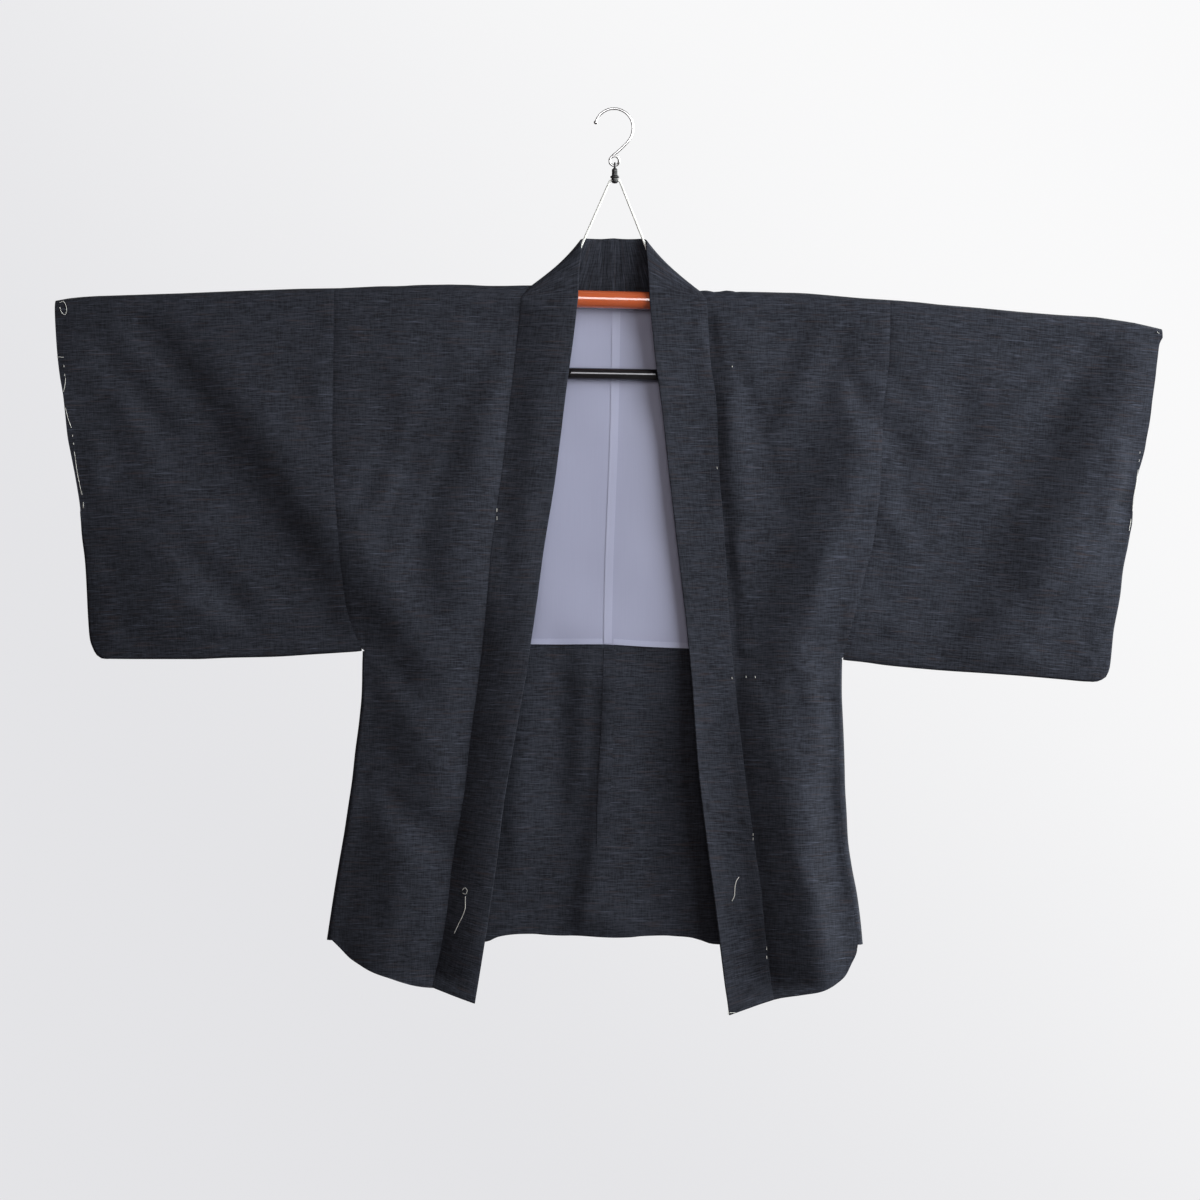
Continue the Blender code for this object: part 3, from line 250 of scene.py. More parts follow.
LEFT = Half(
    name="left",
    sign=-1,
    tilt=1.6,
    cuff=table(
        (-655.8, 235.5), (-655.6, 243), (-654.4, 266), (-652.5, 290), (-649.7, 313), (-645.6, 337),
        (-643, 360), (-640.4, 384), (-636, 407), (-631.6, 430.5), (-628.2, 454), (-626.4, 472)
    ),
    closed=table(
        (-622.8, 472), (-620.8, 501), (-618, 525), (-617, 536), (-612.7, 613), (-611.5, 622), (-607.5, 633),
        (-603.5, 638.8), (-598.5, 640.8), (-544, 641.2), (-497, 641.2), (-450, 639.6), (-403.5, 638.6),
        (-357, 635.9), (-310, 632.9), (-297, 632)
    ),
    armhole=table((-328, 223.5), (-330, 388), (-323, 494), (-315, 576), (-306, 611), (-297, 632)),
    side=table(
        (-292.5, 636), (-292.8, 653), (-292.6, 686), (-294.2, 719), (-297.4, 752), (-300.7, 785),
        (-305.5, 818), (-310.3, 850), (-316, 883), (-321.5, 916), (-326.6, 949), (-330.5, 975)
    ),
    hem=table(
        (-330.5, 975), (-321, 984), (-309, 995.5), (-297, 1003), (-288, 1008.3), (-278.5, 1012.5),
        (-260, 1018.5), (-250.5, 1021.8), (-232, 1026.8), (-221, 1028.3), (-211, 1028.8)
    ),
    seam=table(
        (-211, 1028.8), (-196, 952), (-188, 884), (-175, 807), (-167, 737), (-158, 670), (-148, 576),
        (-144, 522), (-132, 432), (-120, 331), (-113, 271), (-108, 222.5)
    ),
    edge=table(
        (-162, 1046), (-149, 965), (-138, 890), (-128, 810), (-116, 738), (-104, 670), (-90, 576),
        (-83, 522), (-69, 435), (-56, 331), (-48, 273), (-42, 222.5)
    ),
    neck_edge=table(
        (-42, -15.5, 222.5), (-40.8, -11.5, 190), (-38.4, -6.5, 166), (-38.8, -2.5, 156), (-37.6, 2, 152.4),
        (-31.5, 7.5, 150.6), (-17, 11, 150.8), (0, 11.5, 150)
    ),
    neck=table((-108, -13, 222.5), (-104, -10.5, 216.5), (-94, -4, 207.5), (-83, 8, 209.5), (-70, 16.6, 223)),
    gusset_bulge=(2.5, 6.5),
    band=47.0,
    lean=(15, 10, 4),
    roll=1.2,
)
RIGHT = Half(
    name="right",
    sign=1,
    tilt=-4.5,
    cuff=table(
        (643.5, 269), (640, 275), (637.6, 287), (635.2, 301.5), (633.4, 315.5), (631.2, 330), (629.2, 344),
        (627.8, 358), (625.8, 372), (623.2, 386), (621, 400), (617.5, 414), (613.5, 428), (611, 442),
        (609.2, 456), (608.6, 472)
    ),
    closed=table(
        (605, 472), (604.6, 484), (602, 498.5), (599.6, 512.6), (594, 541), (591, 569), (588.6, 583),
        (583.2, 611), (580.4, 639), (578.8, 652.5), (576.4, 661), (571.2, 665.8), (564, 667.8), (558, 667.7),
        (529, 665.3), (482, 661.2), (435, 657.8), (388, 654.7), (341, 650.6), (318, 648.2), (294, 644.8),
        (270, 642.4)
    ),
    armhole=table(
        (324, 236.5), (323, 289), (316, 352), (312, 442), (305, 502), (292, 555), (277, 615), (270, 642.4)
    ),
    side=table(
        (265.5, 645), (265, 660), (264, 693), (264.2, 726), (264.3, 759), (264.8, 792), (266.6, 825),
        (268.2, 857), (272.8, 890), (279, 923), (283.2, 956), (285.4, 980)
    ),
    hem=table(
        (285.4, 980), (284.2, 988.5), (278, 1001.5), (270, 1016), (260.5, 1023.7), (252.5, 1028.6),
        (244, 1032.4), (236, 1034.6), (219.5, 1037.2), (195, 1040.4), (186, 1042.5)
    ),
    seam=table(
        (186, 1042.5), (178, 975), (172, 914), (165, 866), (152, 768), (141, 670), (136, 615), (129, 502),
        (123, 423), (120, 350), (112, 290), (108, 227.5)
    ),
    edge=table(
        (134, 1060.3), (125, 986), (116, 916), (109, 863), (98, 768), (91, 670), (86, 615), (73, 502),
        (64, 423), (56, 350), (48, 290), (42, 227.5)
    ),
    neck_edge=table(
        (42, -15.5, 227.5), (40, -11.5, 190), (38, -6.5, 167), (38, -2.5, 157), (36.5, 2, 152.8),
        (31, 7.5, 150.8), (17, 11, 151), (0, 11.5, 150)
    ),
    neck=table((108, -13, 227.5), (104.5, -10.5, 223), (98, -3, 215.9), (87.5, 9, 217.3), (73, 16.6, 223.5)),
    gusset_bulge=(2.5, 6.5),
    band=53.0,
    lean=(8, 6, 3),
)
HALVES = (LEFT, RIGHT)


# ---------------------------------------------------------------- folds


@dataclass(frozen=True)
class Fold:
    """A soft trough (depth > 0, inwards) or ridge (depth < 0) along a bent line."""

    x0: float  # across and drop of the line's start, bend and end
    d0: float
    x1: float
    d1: float
    x2: float
    d2: float
    start: float  # depth at the start and at the end
    end: float
    left: float  # width on each side of the line
    right: float
    spread: float = 1.0  # how much wider it is at its end than at its start
    lip: float = 0.15  # share of its length over which it grows out of the cloth at either end
    crisp: float = 2.0  # 2 for a round fold, near 1 for a sharp one

    def line(self, count: int = 18) -> Array:
        """Places on the parabola through the fold's start, bend and end."""
        t = np.linspace(0, 1, count)[:, None]
        a, b, c = (np.array(p, float) for p in ((self.x0, self.d0), (self.x1, self.d1), (self.x2, self.d2)))
        return (1 - t) * (1 - 2 * t) * a + 4 * t * (1 - t) * b + t * (2 * t - 1) * c

    def depth(self, points: Array, line: Array | None = None) -> Array:
        """How far the fold moves the cloth: size * exp(c^p - (u^2 + c^2)^(p / 2)), eased at both ends.

        u is the distance over the width, p is `crisp` and c is FOLD_BOTTOM.

        Args:
            points: places on the cloth, one row each.
            line: the fold's line, where it isn't its own parabola.

        Returns:
            One depth for each place, inwards positive.
        """
        t, offset = along(points, self.line() if line is None else line)
        width = np.where(offset < 0, self.left, self.right) * (1 + (self.spread - 1) * t)
        size = (self.start + (self.end - self.start) * t) * ease(t / self.lip) * ease((1 - t) / self.lip)
        reach = ((offset / width) ** 2 + FOLD_BOTTOM**2) ** (self.crisp / 2)
        return size * np.exp(FOLD_BOTTOM**self.crisp - reach)


def folds(*rows: tuple) -> tuple[Fold, ...]:
    """Folds from rows of their sizes, in the order of the fields of Fold."""
    return tuple(Fold(*row) for row in rows)


def seam_fold(*sizes: float) -> Fold:
    """A fold that is laid along a seam, so that it has no line of its own: depths, widths, spread, lip."""
    return Fold(*[0.0] * 6, *sizes)


FRONT_FOLDS = folds(
    # left sleeve and front
    (-593, 220, -434, 453, -277, 708, 16.5, 5.1, 46.9, 28.9, 1.3, 0.12, 2.38),
    (-511, 238, -399, 388, -298, 581, -6.6, -9.8, 29.2, 39.8, 1, 0.3, 2.13),
    (-602, 231, -544, 312, -471, 405, -12.2, -9.5, 21.7, 27.6, 1, 0.3, 2.1),
    (-639, 306, -609, 396, -619, 470, 5.4, -7.9, 14.3, 17.7, 1, 0.3, 2.17),
    (-532, 484, -468, 555, -410, 622, 2.8, 8.2, 15.2, 19.4, 1, 0.3, 2.18),
    (-284, 579, -302, 432, -262, 383, -13.1, -2.2, 24.1, 28.8, 1.2, 0.3, 1.74),
    (-263, 631, -256, 477, -230, 418, -18, -5.3, 32.7, 37.6, 1, 0.3, 1.83),
    (-124, 248, -147, 439, -151, 623, -4.5, -11.3, 34, 18.2, 1, 0.2, 2.19),
    (-131, 226, -152, 302, -181, 377, 9.2, 0.8, 33.9, 15.7, 1, 0.3, 1.71),
    (-202, 409, -195, 505, -207, 590, -5.8, -8.5, 29, 29.8, 1, 0.3, 1.93),
    (-278, 640, -230, 700, -225, 782, 6.3, -0.8, 13.8, 15.2, 1, 0.25, 2.26),
    (-250, 721, -246, 820, -170, 873, 3.1, 9.7, 20.6, 28.7, 1, 0.25, 2.57),
    (-325, 791, -277, 883, -303, 994, -0.9, 6.4, 19, 19.2, 1, 0.3, 2.17),
    (-270, 703, -210, 747, -198, 857, -5.7, -2.4, 18.8, 27.4, 1, 0.3, 1.94),
    (-283, 645, -302, 765, -284, 821, 9.5, 2.7, 15.3, 19.9, 1, 0.3, 1.69),
    (-217, 886, -205, 933, -249, 1018, -1, -6.7, 14, 15.9, 1, 0.3, 2.08),
    # right sleeve and front
    (113, 242, 170, 375, 200, 495, 5.8, 6.2, 32.9, 13.3, 1, 0.2, 1.64),
    (244, 209, 201, 297, 171, 402, 2.7, 9.4, 25.7, 18.5, 1, 0.25, 1.87),
    (290, 295, 212, 404, 136, 712, 3, 12.2, 28.7, 29.1, 1.1, 0.15, 2.18),
    (287, 327, 283, 428, 204, 652, -10.8, -13.4, 35.3, 24.8, 1, 0.2, 1.81),
    (251, 255, 307, 364, 400, 448, 3.6, 6.7, 19.8, 18.8, 1, 0.3, 1.6),
    (283, 252, 312, 306, 363, 345, -0.3, 6.2, 10.1, 19.6, 1, 0.3, 1.98),
    (102, 236, 133, 353, 122, 490, -6.7, -6.8, 16.1, 21, 1, 0.2, 2.02),
    (170, 447, 151, 561, 147, 704, 3.8, -5.8, 9.3, 12.6, 1, 0.3, 1.9),
    (185, 663, 195, 742, 215, 817, 5.8, 1.6, 9.4, 13.8, 1, 0.3, 2.28),
    (414, 307, 398, 389, 394, 452, 7.6, 2, 18.1, 26.4, 1, 0.3, 2.11),
    (606, 241, 496, 374, 358, 646, 6.9, 14.8, 56.1, 33.3, 1.2, 0.12, 1.89),
    (567, 258, 465, 376, 384, 485, -6.5, -10.2, 28.4, 16.5, 1, 0.3, 1.84),
    (641, 243, 567, 411, 475, 623, -18, -18, 39.2, 44.8, 1, 0.25, 2.18),
    (493, 581, 530, 616, 508, 661, 7.5, 7.1, 29.2, 29.2, 1, 0.3, 2.16),
    (366, 550, 311, 623, 393, 629, 6.6, 9.9, 34.2, 18.7, 1, 0.3, 2.01),
    (575, 398, 589, 473, 521, 569, -4.6, -4.6, 42.7, 7.5, 1, 0.3, 2.08),
    (186, 677, 203, 769, 255, 1054, -7.3, -8.1, 13, 14.9, 2, 0.05, 2.01),
    (252, 693, 257, 838, 272, 981, 7.8, 7.8, 12.6, 16.4, 1, 0.3, 1.97),
    (200, 594, 239, 744, 227, 828, -8.9, -8.9, 30.8, 14.4, 1, 0.3, 2.26),
)
FRONT_CREASES = folds(
    # the right collar sinks beside the deep fold of the front
    (101, 540, 123, 800, 155, 1052, 3, 12, 26, 31, 1, 0.1, 2),
    # and rises again at its seam, sharply high up and broadly low down
    (142, 480, 147, 570, 154, 660, -4, -4.5, 10, 60, 1, 0.2, 2),
    (148, 640, 172, 846, 197, 1052, -6.5, -10, 18, 90, 1, 0.15, 2),
    # a short crease leaves the top of that seam
    (110, 238, 121, 285, 137, 342, 3.5, 2.5, 8, 7, 1, 0.15, 2),
    # the left collar breaks over a long ridge along its middle
    (-83, 300, -100, 440, -120, 590, -4.5, -2.5, 22, 20, 1, 0.25, 2),
    # left sleeve and front
    (-536, 296, -428, 436, -338, 606, -1.2, -1.4, 19.5, 14.4, 1.3, 0.3, 1.91),
    (-614, 228, -584, 308, -509, 380, 1.2, -0.7, 19.2, 8.5, 1, 0.25, 1.89),
    (-602, 313, -585, 403, -524, 495, 1.1, 3.7, 33.5, 17.7, 1, 0.3, 2.28),
    (-526, 518, -494, 583, -426, 617, -1.9, -1.8, 14.4, 13.9, 1, 0.3, 1.9),
    (-302, 518, -268, 437, -229, 327, 0.7, -2.2, 11.9, 7.3, 1.2, 0.3, 1.99),
    (-159, 282, -184, 369, -246, 558, 1.1, 3.7, 11.3, 20.7, 1, 0.2, 1.78),
    (-244, 372, -261, 441, -320, 503, 2.6, -5.4, 12.5, 8.7, 1, 0.3, 2.01),
    (-256, 234, -286, 289, -256, 378, -0.3, 3.7, 18.5, 19.5, 1, 0.3, 2.23),
    (-211, 228, -210, 302, -217, 367, 2.6, 2.4, 22.9, 18.2, 1, 0.3, 1.98),
    (-266, 804, -272, 903, -285, 1026, -3, -0.7, 31.4, 26.7, 1, 0.2, 1.99),
    (-232, 637, -209, 697, -202, 773, 1.7, 2.1, 20.6, 12.2, 1, 0.3, 2.03),
    (-307, 495, -288, 428, -243, 351, 2.7, 0.3, 12.2, 6.5, 1, 0.3, 2.14),
    (-282, 529, -245, 433, -202, 297, 3.8, -0.7, 6.1, 7.4, 1, 0.3, 1.97),
    (-257, 510, -230, 427, -170, 332, 3.3, -1.2, 7.8, 8.1, 1, 0.3, 2.09),
    (-270, 587, -221, 645, -210, 675, -3, -2.9, 13, 26.1, 1, 0.3, 1.94),
    (-340, 606, -301, 616, -272, 626, -2.2, -4.2, 10.6, 12.1, 1, 0.3, 1.82),
    (-345, 288, -346, 325, -344, 362, -1.4, -3.7, 13.2, 9.3, 1, 0.3, 2.12),
    (-281, 777, -231, 809, -178, 837, -2.8, -0.4, 11.2, 13.1, 1, 0.3, 2.07),
    (-545, 551, -568, 589, -586, 626, 2.3, 3.7, 19.2, 17.8, 1, 0.3, 1.77),
    (-533, 521, -574, 533, -620, 536, 2.9, 4.4, 14.8, 19.2, 1, 0.3, 1.85),
    (-482, 627, -424, 629, -365, 614, 4.7, 6, 13.5, 10, 1, 0.3, 2.04),
    (-592, 312, -560, 367, -529, 420, -3.9, -2, 15.1, 14.3, 1, 0.3, 2.08),
    # right sleeve and front
    (200, 645, 214, 689, 230, 746, 3.2, -1.6, 7.6, 8.3, 1, 0.3, 2.09),
    (540, 596, 558, 629, 555, 646, 2.2, 2.2, 10.9, 6, 1, 0.3, 2.03),
    (421, 481, 402, 541, 381, 600, 2.2, 3.1, 19.3, 13, 1, 0.3, 2.03),
    (346, 401, 342, 462, 369, 500, 3.7, 0.8, 10.6, 18.9, 1, 0.3, 2.14),
    (539, 551, 560, 590, 584, 591, 3.3, 4.8, 21.5, 18.6, 1, 0.3, 1.99),
    (197, 242, 181, 263, 180, 296, 1.8, 2.6, 12.4, 14.6, 1, 0.3, 1.93),
    (250, 677, 258, 719, 259, 760, 3, 2.5, 6.1, 8.8, 1, 0.3, 2.01),
    (242, 759, 254, 798, 258, 852, 2, 2.1, 7.6, 9.4, 1, 0.3, 1.99),
    (556, 286, 550, 344, 512, 388, -3.2, -1.2, 19, 15.9, 1, 0.3, 1.95),
    (222, 881, 237, 943, 242, 1005, -4.9, -3.4, 13.7, 8.4, 1, 0.3, 1.96),
    (255, 482, 239, 547, 228, 603, -2.3, -2.7, 11.6, 10.4, 1, 0.3, 2.08),
    (489, 588, 430, 617, 372, 659, -4.9, -5.1, 9.8, 16.4, 1, 0.3, 1.83),
    (264, 953, 250, 990, 225, 1027, -2.3, -3.1, 12.6, 15.1, 1, 0.3, 2),
    (170, 802, 200, 853, 230, 910, -1.6, -2.3, 16, 15.3, 1, 0.3, 2.09),
    (263, 298, 276, 360, 285, 423, -4.1, -0.9, 16.4, 9.1, 1, 0.3, 1.93),
    (221, 930, 225, 969, 234, 1008, -0.3, -1.8, 13.6, 11.5, 1, 0.3, 1.96),
    (599, 381, 587, 442, 575, 503, -6.5, -6.8, 19, 11, 1, 0.3, 1.82),
    (268, 574, 263, 632, 251, 694, 1.5, 3.9, 9.4, 8.8, 1, 0.3, 2.09),
    (175, 826, 186, 889, 196, 941, -1.6, -1.3, 8.2, 13.3, 1, 0.3, 2.28),
    (258, 811, 221, 827, 185, 838, -3.8, -1.6, 14.8, 15.7, 1, 0.3, 1.87),
    (197, 965, 197, 1002, 201, 1039, -1, -2.4, 9.7, 11, 1, 0.3, 1.94),
    (531, 548, 479, 577, 424, 599, -3.6, -5.1, 15.7, 14.2, 1, 0.3, 1.95),
    (396, 645, 452, 650, 506, 642, -5.3, -5.1, 14.6, 13.7, 1, 0.3, 1.77),
    (258, 843, 219, 856, 191, 873, -3.6, -0.3, 12.4, 13.6, 1, 0.3, 1.88),
    (307, 461, 334, 497, 353, 534, -2.5, -3.4, 11.7, 12.6, 1, 0.3, 2.12),
    (175, 672, 217, 688, 255, 699, -2.6, -1.9, 11.5, 15.7, 1, 0.3, 1.95),
    (237, 894, 246, 952, 261, 1012, -1.2, -1, 10.2, 10.6, 1, 0.3, 2.02),
    (285, 250, 254, 307, 233, 364, 2.9, 3.7, 12, 15.2, 1, 0.3, 1.98),
    (155, 604, 155, 664, 177, 722, -3.7, -1.1, 12.5, 14.5, 1, 0.3, 2.07),
    (236, 438, 234, 492, 219, 555, -1.6, -1.9, 13.6, 14, 1, 0.3, 2.1),
    (137, 489, 149, 546, 152, 600, -3.1, 0.2, 6.5, 7.7, 1, 0.3, 2.02),
    (264, 876, 219, 911, 166, 954, -2.6, -2.7, 16.3, 9.7, 1, 0.3, 1.96),
    (266, 899, 223, 932, 170, 978, -1, -3.1, 12.9, 13.3, 1, 0.3, 1.99),
    (256, 727, 206, 761, 152, 796, -2.1, -0.8, 11.3, 11.5, 1, 0.3, 2.02),
    (214, 764, 226, 821, 236, 880, -1.9, -4, 11.6, 13.4, 1, 0.3, 2.04),
    (258, 409, 263, 444, 276, 480, -0.2, 2.4, 8.4, 6.3, 1, 0.3, 2.04),
    # the edge of the turned-up hem shows through on the left
    (-318, 890, -300, 900, -262, 902, 0.8, 0.8, 5, 4, 1, 0.3),
)
# the broad dip along each collar seam, hem to neck, and the sharp gully right on it
SEAM_FOLDS = {
    "left": (seam_fold(12, 6, 30, 25, 1, 0.02), seam_fold(2.6, 2.2, 7, 7, 1, 0.02)),
    "right": (seam_fold(20, 1.5, 33, 120, 0.32, 0.02), seam_fold(1.5, 3, 8, 5, 1, 0.02)),
}
BACK_FOLDS = folds(
    # behind the sleeves
    (-575, 250, -420, 450, -255, 690, 9, 10, 18, 16, 1.4, 0.15),
    (-520, 340, -450, 470, -380, 590, -4, -4, 26, 26, 1, 0.3),
    (575, 285, 470, 450, 300, 690, 10, 11, 24, 22, 1.2, 0.15),
    (490, 300, 420, 400, 360, 520, -4, -4, 26, 26, 1, 0.3),
    # behind the body
    (-245, 330, -228, 500, -240, 650, -5, -6, 24, 20, 1, 0.3),
    (-262, 700, -238, 820, -246, 965, 5, 7, 24, 28, 1.1, 0.2),
    (-2, 640, -14, 810, -35, 985, 5, 14, 16, 60, 1, 0.12, 2),
    (-62, 600, -64, 740, -70, 900, -4, -5, 22, 18, 1, 0.3),
    (-34, 620, -36, 720, -40, 830, 3, 3, 15, 10, 1, 0.3),
    (-104, 560, -112, 740, -120, 965, 2.5, 3.5, 14, 20, 1, 0.3),
    (-165, 520, -160, 740, -170, 965, -4, -7, 24, 24, 1.1, 0.3),
    (40, 660, 46, 800, 44, 985, -3, -4, 20, 20, 1, 0.3),
    (92, 560, 100, 760, 110, 985, 4, 7, 36, 24, 1, 0.3),
    (140, 520, 146, 740, 156, 985, -4, -7, 20, 22, 1.2, 0.3),
    (190, 420, 180, 650, 198, 965, 5, 7, 30, 26, 1.2, 0.3),
    (262, 400, 240, 530, 246, 660, -4, -4, 18, 18, 1, 0.3),
)
BACK_CREASES = folds(
    (-600, 300, -560, 370, -500, 430, 2.5, 2.5, 13, 13, 1, 0.3),
    (-470, 520, -430, 560, -380, 610, 2, 2, 12, 12, 1, 0.3),
    (-330, 500, -290, 560, -270, 640, 2.5, 2.5, 11, 11, 1, 0.3),
    (600, 330, 560, 400, 520, 450, 2.5, 2.5, 14, 14, 1, 0.3),
    (400, 520, 380, 580, 350, 630, 2, 2, 11, 11, 1, 0.3),
    (310, 480, 270, 560, 262, 640, 2.5, 2.5, 11, 11, 1, 0.3),
    (-205, 720, -196, 830, -202, 960, 2.5, 3, 11, 11, 1, 0.3),
    (150, 700, 146, 830, 152, 965, 2.5, 3, 10, 10, 1, 0.3),
)
# slow ripples that keep the cloth from lying dead flat: waves to the metre across and down, phase, height
RIPPLES = table(
    (6.1, 1.3, 0.4, 0.50), (2.3, 4.7, 1.9, 0.40), (9.7, -3.1, 3.1, 0.30), (-7.3, 6.9, 5.2, 0.25),
    (13.1, 2.2, 0.9, 0.18), (4.1, -11.3, 2.7, 0.15)
)


@dataclass(frozen=True)
class Throat:
    """A soft-edged patch beside or behind the open fronts, where the cloth is drawn in."""

    gap: float  # half gap high up in the patch
    drawn: float  # how much smaller it is lower down
    across: tuple[float, float]  # distances from the middle at which the patch begins and is full
    top: tuple[float, float]  # drops at which it begins and is full
    bottom: tuple[float, float]  # drops at which it starts to fade and is gone
    low: tuple[float, float] = (335.0, 385.0)  # drops between which its half gap gets smaller

    def pull(self, points: Array, gap: Array) -> Array:
        """How far the patch draws the cloth in: (gap - closest) * share of the patch.

        Args:
            points: (across, drop), one row each.
            gap: the half gap there without it.

        Returns:
            One depth for each place.
        """
        across, drop = points.T
        share = grows(np.abs(across), *self.across) * grows(drop, *self.top) * (1 - grows(drop, *self.bottom))
        closest = self.gap - self.drawn * grows(drop, *self.low)
        return (gap - closest) * share


@dataclass(frozen=True)
class Drape:
    """How the cloth hangs: the depth of its fronts and back at each place in the plane."""

    shoulder_radius: float = 12.2
    tip_fall: float = 160.0  # drop over which the narrow tips of the shoulders widen
    edge_radius: float = 2.6
    edge_places: int = 46  # how many places stand for the closed edge when distances from it are taken
    pillow: float = 70.0  # distance from the closed edge of a sleeve at which it is as thick as elsewhere
    side_gap: float = 9.0
    side_reach: float = 75.0  # distance from the side seam over which the gap narrows
    side_fall: float = 70.0  # drop below the armpit over which it does so
    forward: float = 10.0  # how far the fronts swing forward at the hem
    forward_drops: tuple[float, float] = (640.0, 1020.0)  # drops at which the swing begins and is full
    forward_gaps: tuple[float, float] = (4.0, 16.0)  # the same by half gap
    closest: float = 4.0  # half gap at which folds stop
    softness: float = 1.5  # how gently they stop
    groove: float = 1.0  # depth of the seams between sleeve, body and gusset
    groove_width: float = 2.2
    groove_room: tuple[float, float] = (20.0, 3.0)  # how far a groove runs on above and below its seam
    stiff_below: tuple[float, float] = (3.0, 29.0)  # drops below the tube at which folds begin and are full
    stiff_edge: float = 7.0  # half gap, less that of the closed edge, from which folds are full
    nape: float = 4.0  # swell of the back behind the neck
    nape_across: tuple[float, float] = (110.0, 60.0)  # distances from the middle: it begins, it is full
    nape_drops: tuple[float, float] = (232.0, 282.0)  # drops at which it starts to fade and is gone
    ripple_shift: float = 310.0  # moves the ripples of the back away from those of the fronts
    front_throat: Throat = Throat(11.0, 3.0, (160.0, 80.0), (240.0, 300.0), (500.0, 720.0))
    back_throat: Throat = Throat(9.9, 2.4, (150.0, 80.0), (236.0, 281.0), (600.0, 750.0))

    def rest_drop(self, across: Array) -> Array:
        """Drop of the line at which the cloth starts to turn over the tube."""
        return np.interp(across, REST_LINE[:, 0], REST_LINE[:, 1])

    def crest(self, across: Array) -> Array:
        """How far the cloth rises over that line."""
        return np.interp(across, REST_RADIUS[:, 0], np.minimum(REST_RADIUS[:, 1], self.shoulder_radius))

    def half_gap(self, points: Array) -> Array:
        """Half the gap between front and back before any fold.

        It grows with the drop, narrows at the gussets and at the tips of the shoulders, and falls to
        a small radius along the closed edge of each sleeve.

        Args:
            points: (across, drop), one row each.

        Returns:
            One half gap for each place.
        """
        across, drop = points.T
        below = np.maximum(drop - self.rest_drop(across), 0)
        gap = smooth(below, HALF_GAP[:, 0], HALF_GAP[:, 1])
        tip = np.interp(across, REST_RADIUS[:, 0], REST_RADIUS[:, 1]) / self.shoulder_radius
        gap = gap * (tip + (1 - tip) * ease(below / self.tip_fall))
        for half in HALVES:
            armpit = half.armhole[-1, 1]
            reach = np.abs(across - across_at(half.side, drop))
            narrow = (1 - ease(reach / self.side_reach)) * ease((drop - armpit) / self.side_fall)
            gap = gap - (gap - self.side_gap) * narrow * (across * half.sign > 0)
            edge = at_shares(half.closed, np.linspace(0, 1, self.edge_places))
            off = np.abs(along(points, edge)[1])
            swell = np.sin(np.clip(off / self.pillow, 0, 1) * np.pi / 2)
            gap = self.edge_radius + (gap - self.edge_radius) * swell
        return gap

    def seams(self, points: Array) -> Array:
        """Grooves along the armholes and the side seams: depth * exp(-(distance / width)^2)."""
        across, drop = points.T
        above, below = self.groove_room
        total = np.zeros(len(points))
        for line in (LEFT.armhole, LEFT.side, RIGHT.armhole, RIGHT.side):
            inside = (drop <= line[-1, 1] + below) & (drop >= line[0, 1] - above)
            off = across - across_at(line, drop)
            total += inside * self.groove * np.exp(-((off / self.groove_width) ** 2))
        return np.minimum(total, self.groove)

    def free(self, points: Array, gap: Array) -> Array:
        """How free the cloth is to fold: 0 at the tube and the closed edges, 1 away from both."""
        below = points[:, 1] - self.rest_drop(points[:, 0])
        return grows(below, *self.stiff_below) * np.clip((gap - self.edge_radius) / self.stiff_edge, 0, 1)

    def ripple(self, points: Array) -> Array:
        """Slow uneven ripples: a sum of sine waves."""
        waves = points @ RIPPLES[:, :2].T * MM * 2 * np.pi + RIPPLES[:, 2]
        return (np.sin(waves) * RIPPLES[:, 3]).sum(axis=1)

    def kept_apart(self, depth: Array, gap: Array) -> Array:
        """A depth held off the middle by a soft stop: floor + s * log(1 + e^((depth - floor) / s))."""
        floor = np.minimum(gap, self.closest)
        return floor + np.logaddexp(0, (depth - floor) / self.softness) * self.softness

    def front(self, points: Array) -> Array:
        """Depth of the fronts, and of the collar that hangs with them.

        It is the gap, swung forward towards the hem and drawn in beside the opening, less the folds.

        Args:
            points: (across, drop), one row each.

        Returns:
            One depth for each place, negative because it is in front.
        """
        moved = sum(fold.depth(points) for fold in (*FRONT_FOLDS, *FRONT_CREASES))
        for half in HALVES:
            for fold in SEAM_FOLDS[half.name]:
                moved = moved + fold.depth(points, seam_line(half))
        moved = moved + self.ripple(points)
        gap = self.half_gap(points)
        swing = self.forward * grows(points[:, 1], *self.forward_drops) * grows(gap, *self.forward_gaps)
        depth = gap + swing - self.front_throat.pull(points, gap)
        depth = depth - moved * self.free(points, gap) - self.seams(points)
        return -self.kept_apart(depth, gap)

    def back(self, points: Array) -> Array:
        """Depth of the back.

        It is the gap, swollen behind the neck and drawn in behind the opening, less the folds.

        Args:
            points: (across, drop), one row each.

        Returns:
            One depth for each place.
        """
        moved = sum(fold.depth(points) for fold in (*BACK_FOLDS, *BACK_CREASES))
        moved = moved + self.ripple(points + self.ripple_shift)
        gap = self.half_gap(points)
        across, drop = points.T
        nape = self.nape * grows(np.abs(across), *self.nape_across) * (1 - grows(drop, *self.nape_drops))
        depth = gap + nape - self.back_throat.pull(points, gap)
        depth = depth - moved * self.free(points, gap) - self.seams(points)
        return self.kept_apart(depth, gap)

    def back_normal(self, points: Array, reach: float = 3.0) -> Array:
        """Unit normals of the back, towards the fronts, from its slopes each way."""
        across, down = (
            (self.back(points + step) - self.back(points - step)) / (2 * reach)
            for step in (np.array([reach, 0]), np.array([0, reach]))
        )
        normal = np.stack([across, -np.ones(len(points)), -down], axis=1)
        return normal / np.linalg.norm(normal, axis=1)[:, None]


DRAPE = Drape()


def seam_line(half: Half) -> Array:
    """The collar seam on the fronts, hem to neck."""
    return read_rows(np.linspace(0, len(half.seam) - 1, 40), np.arange(len(half.seam)), half.seam)


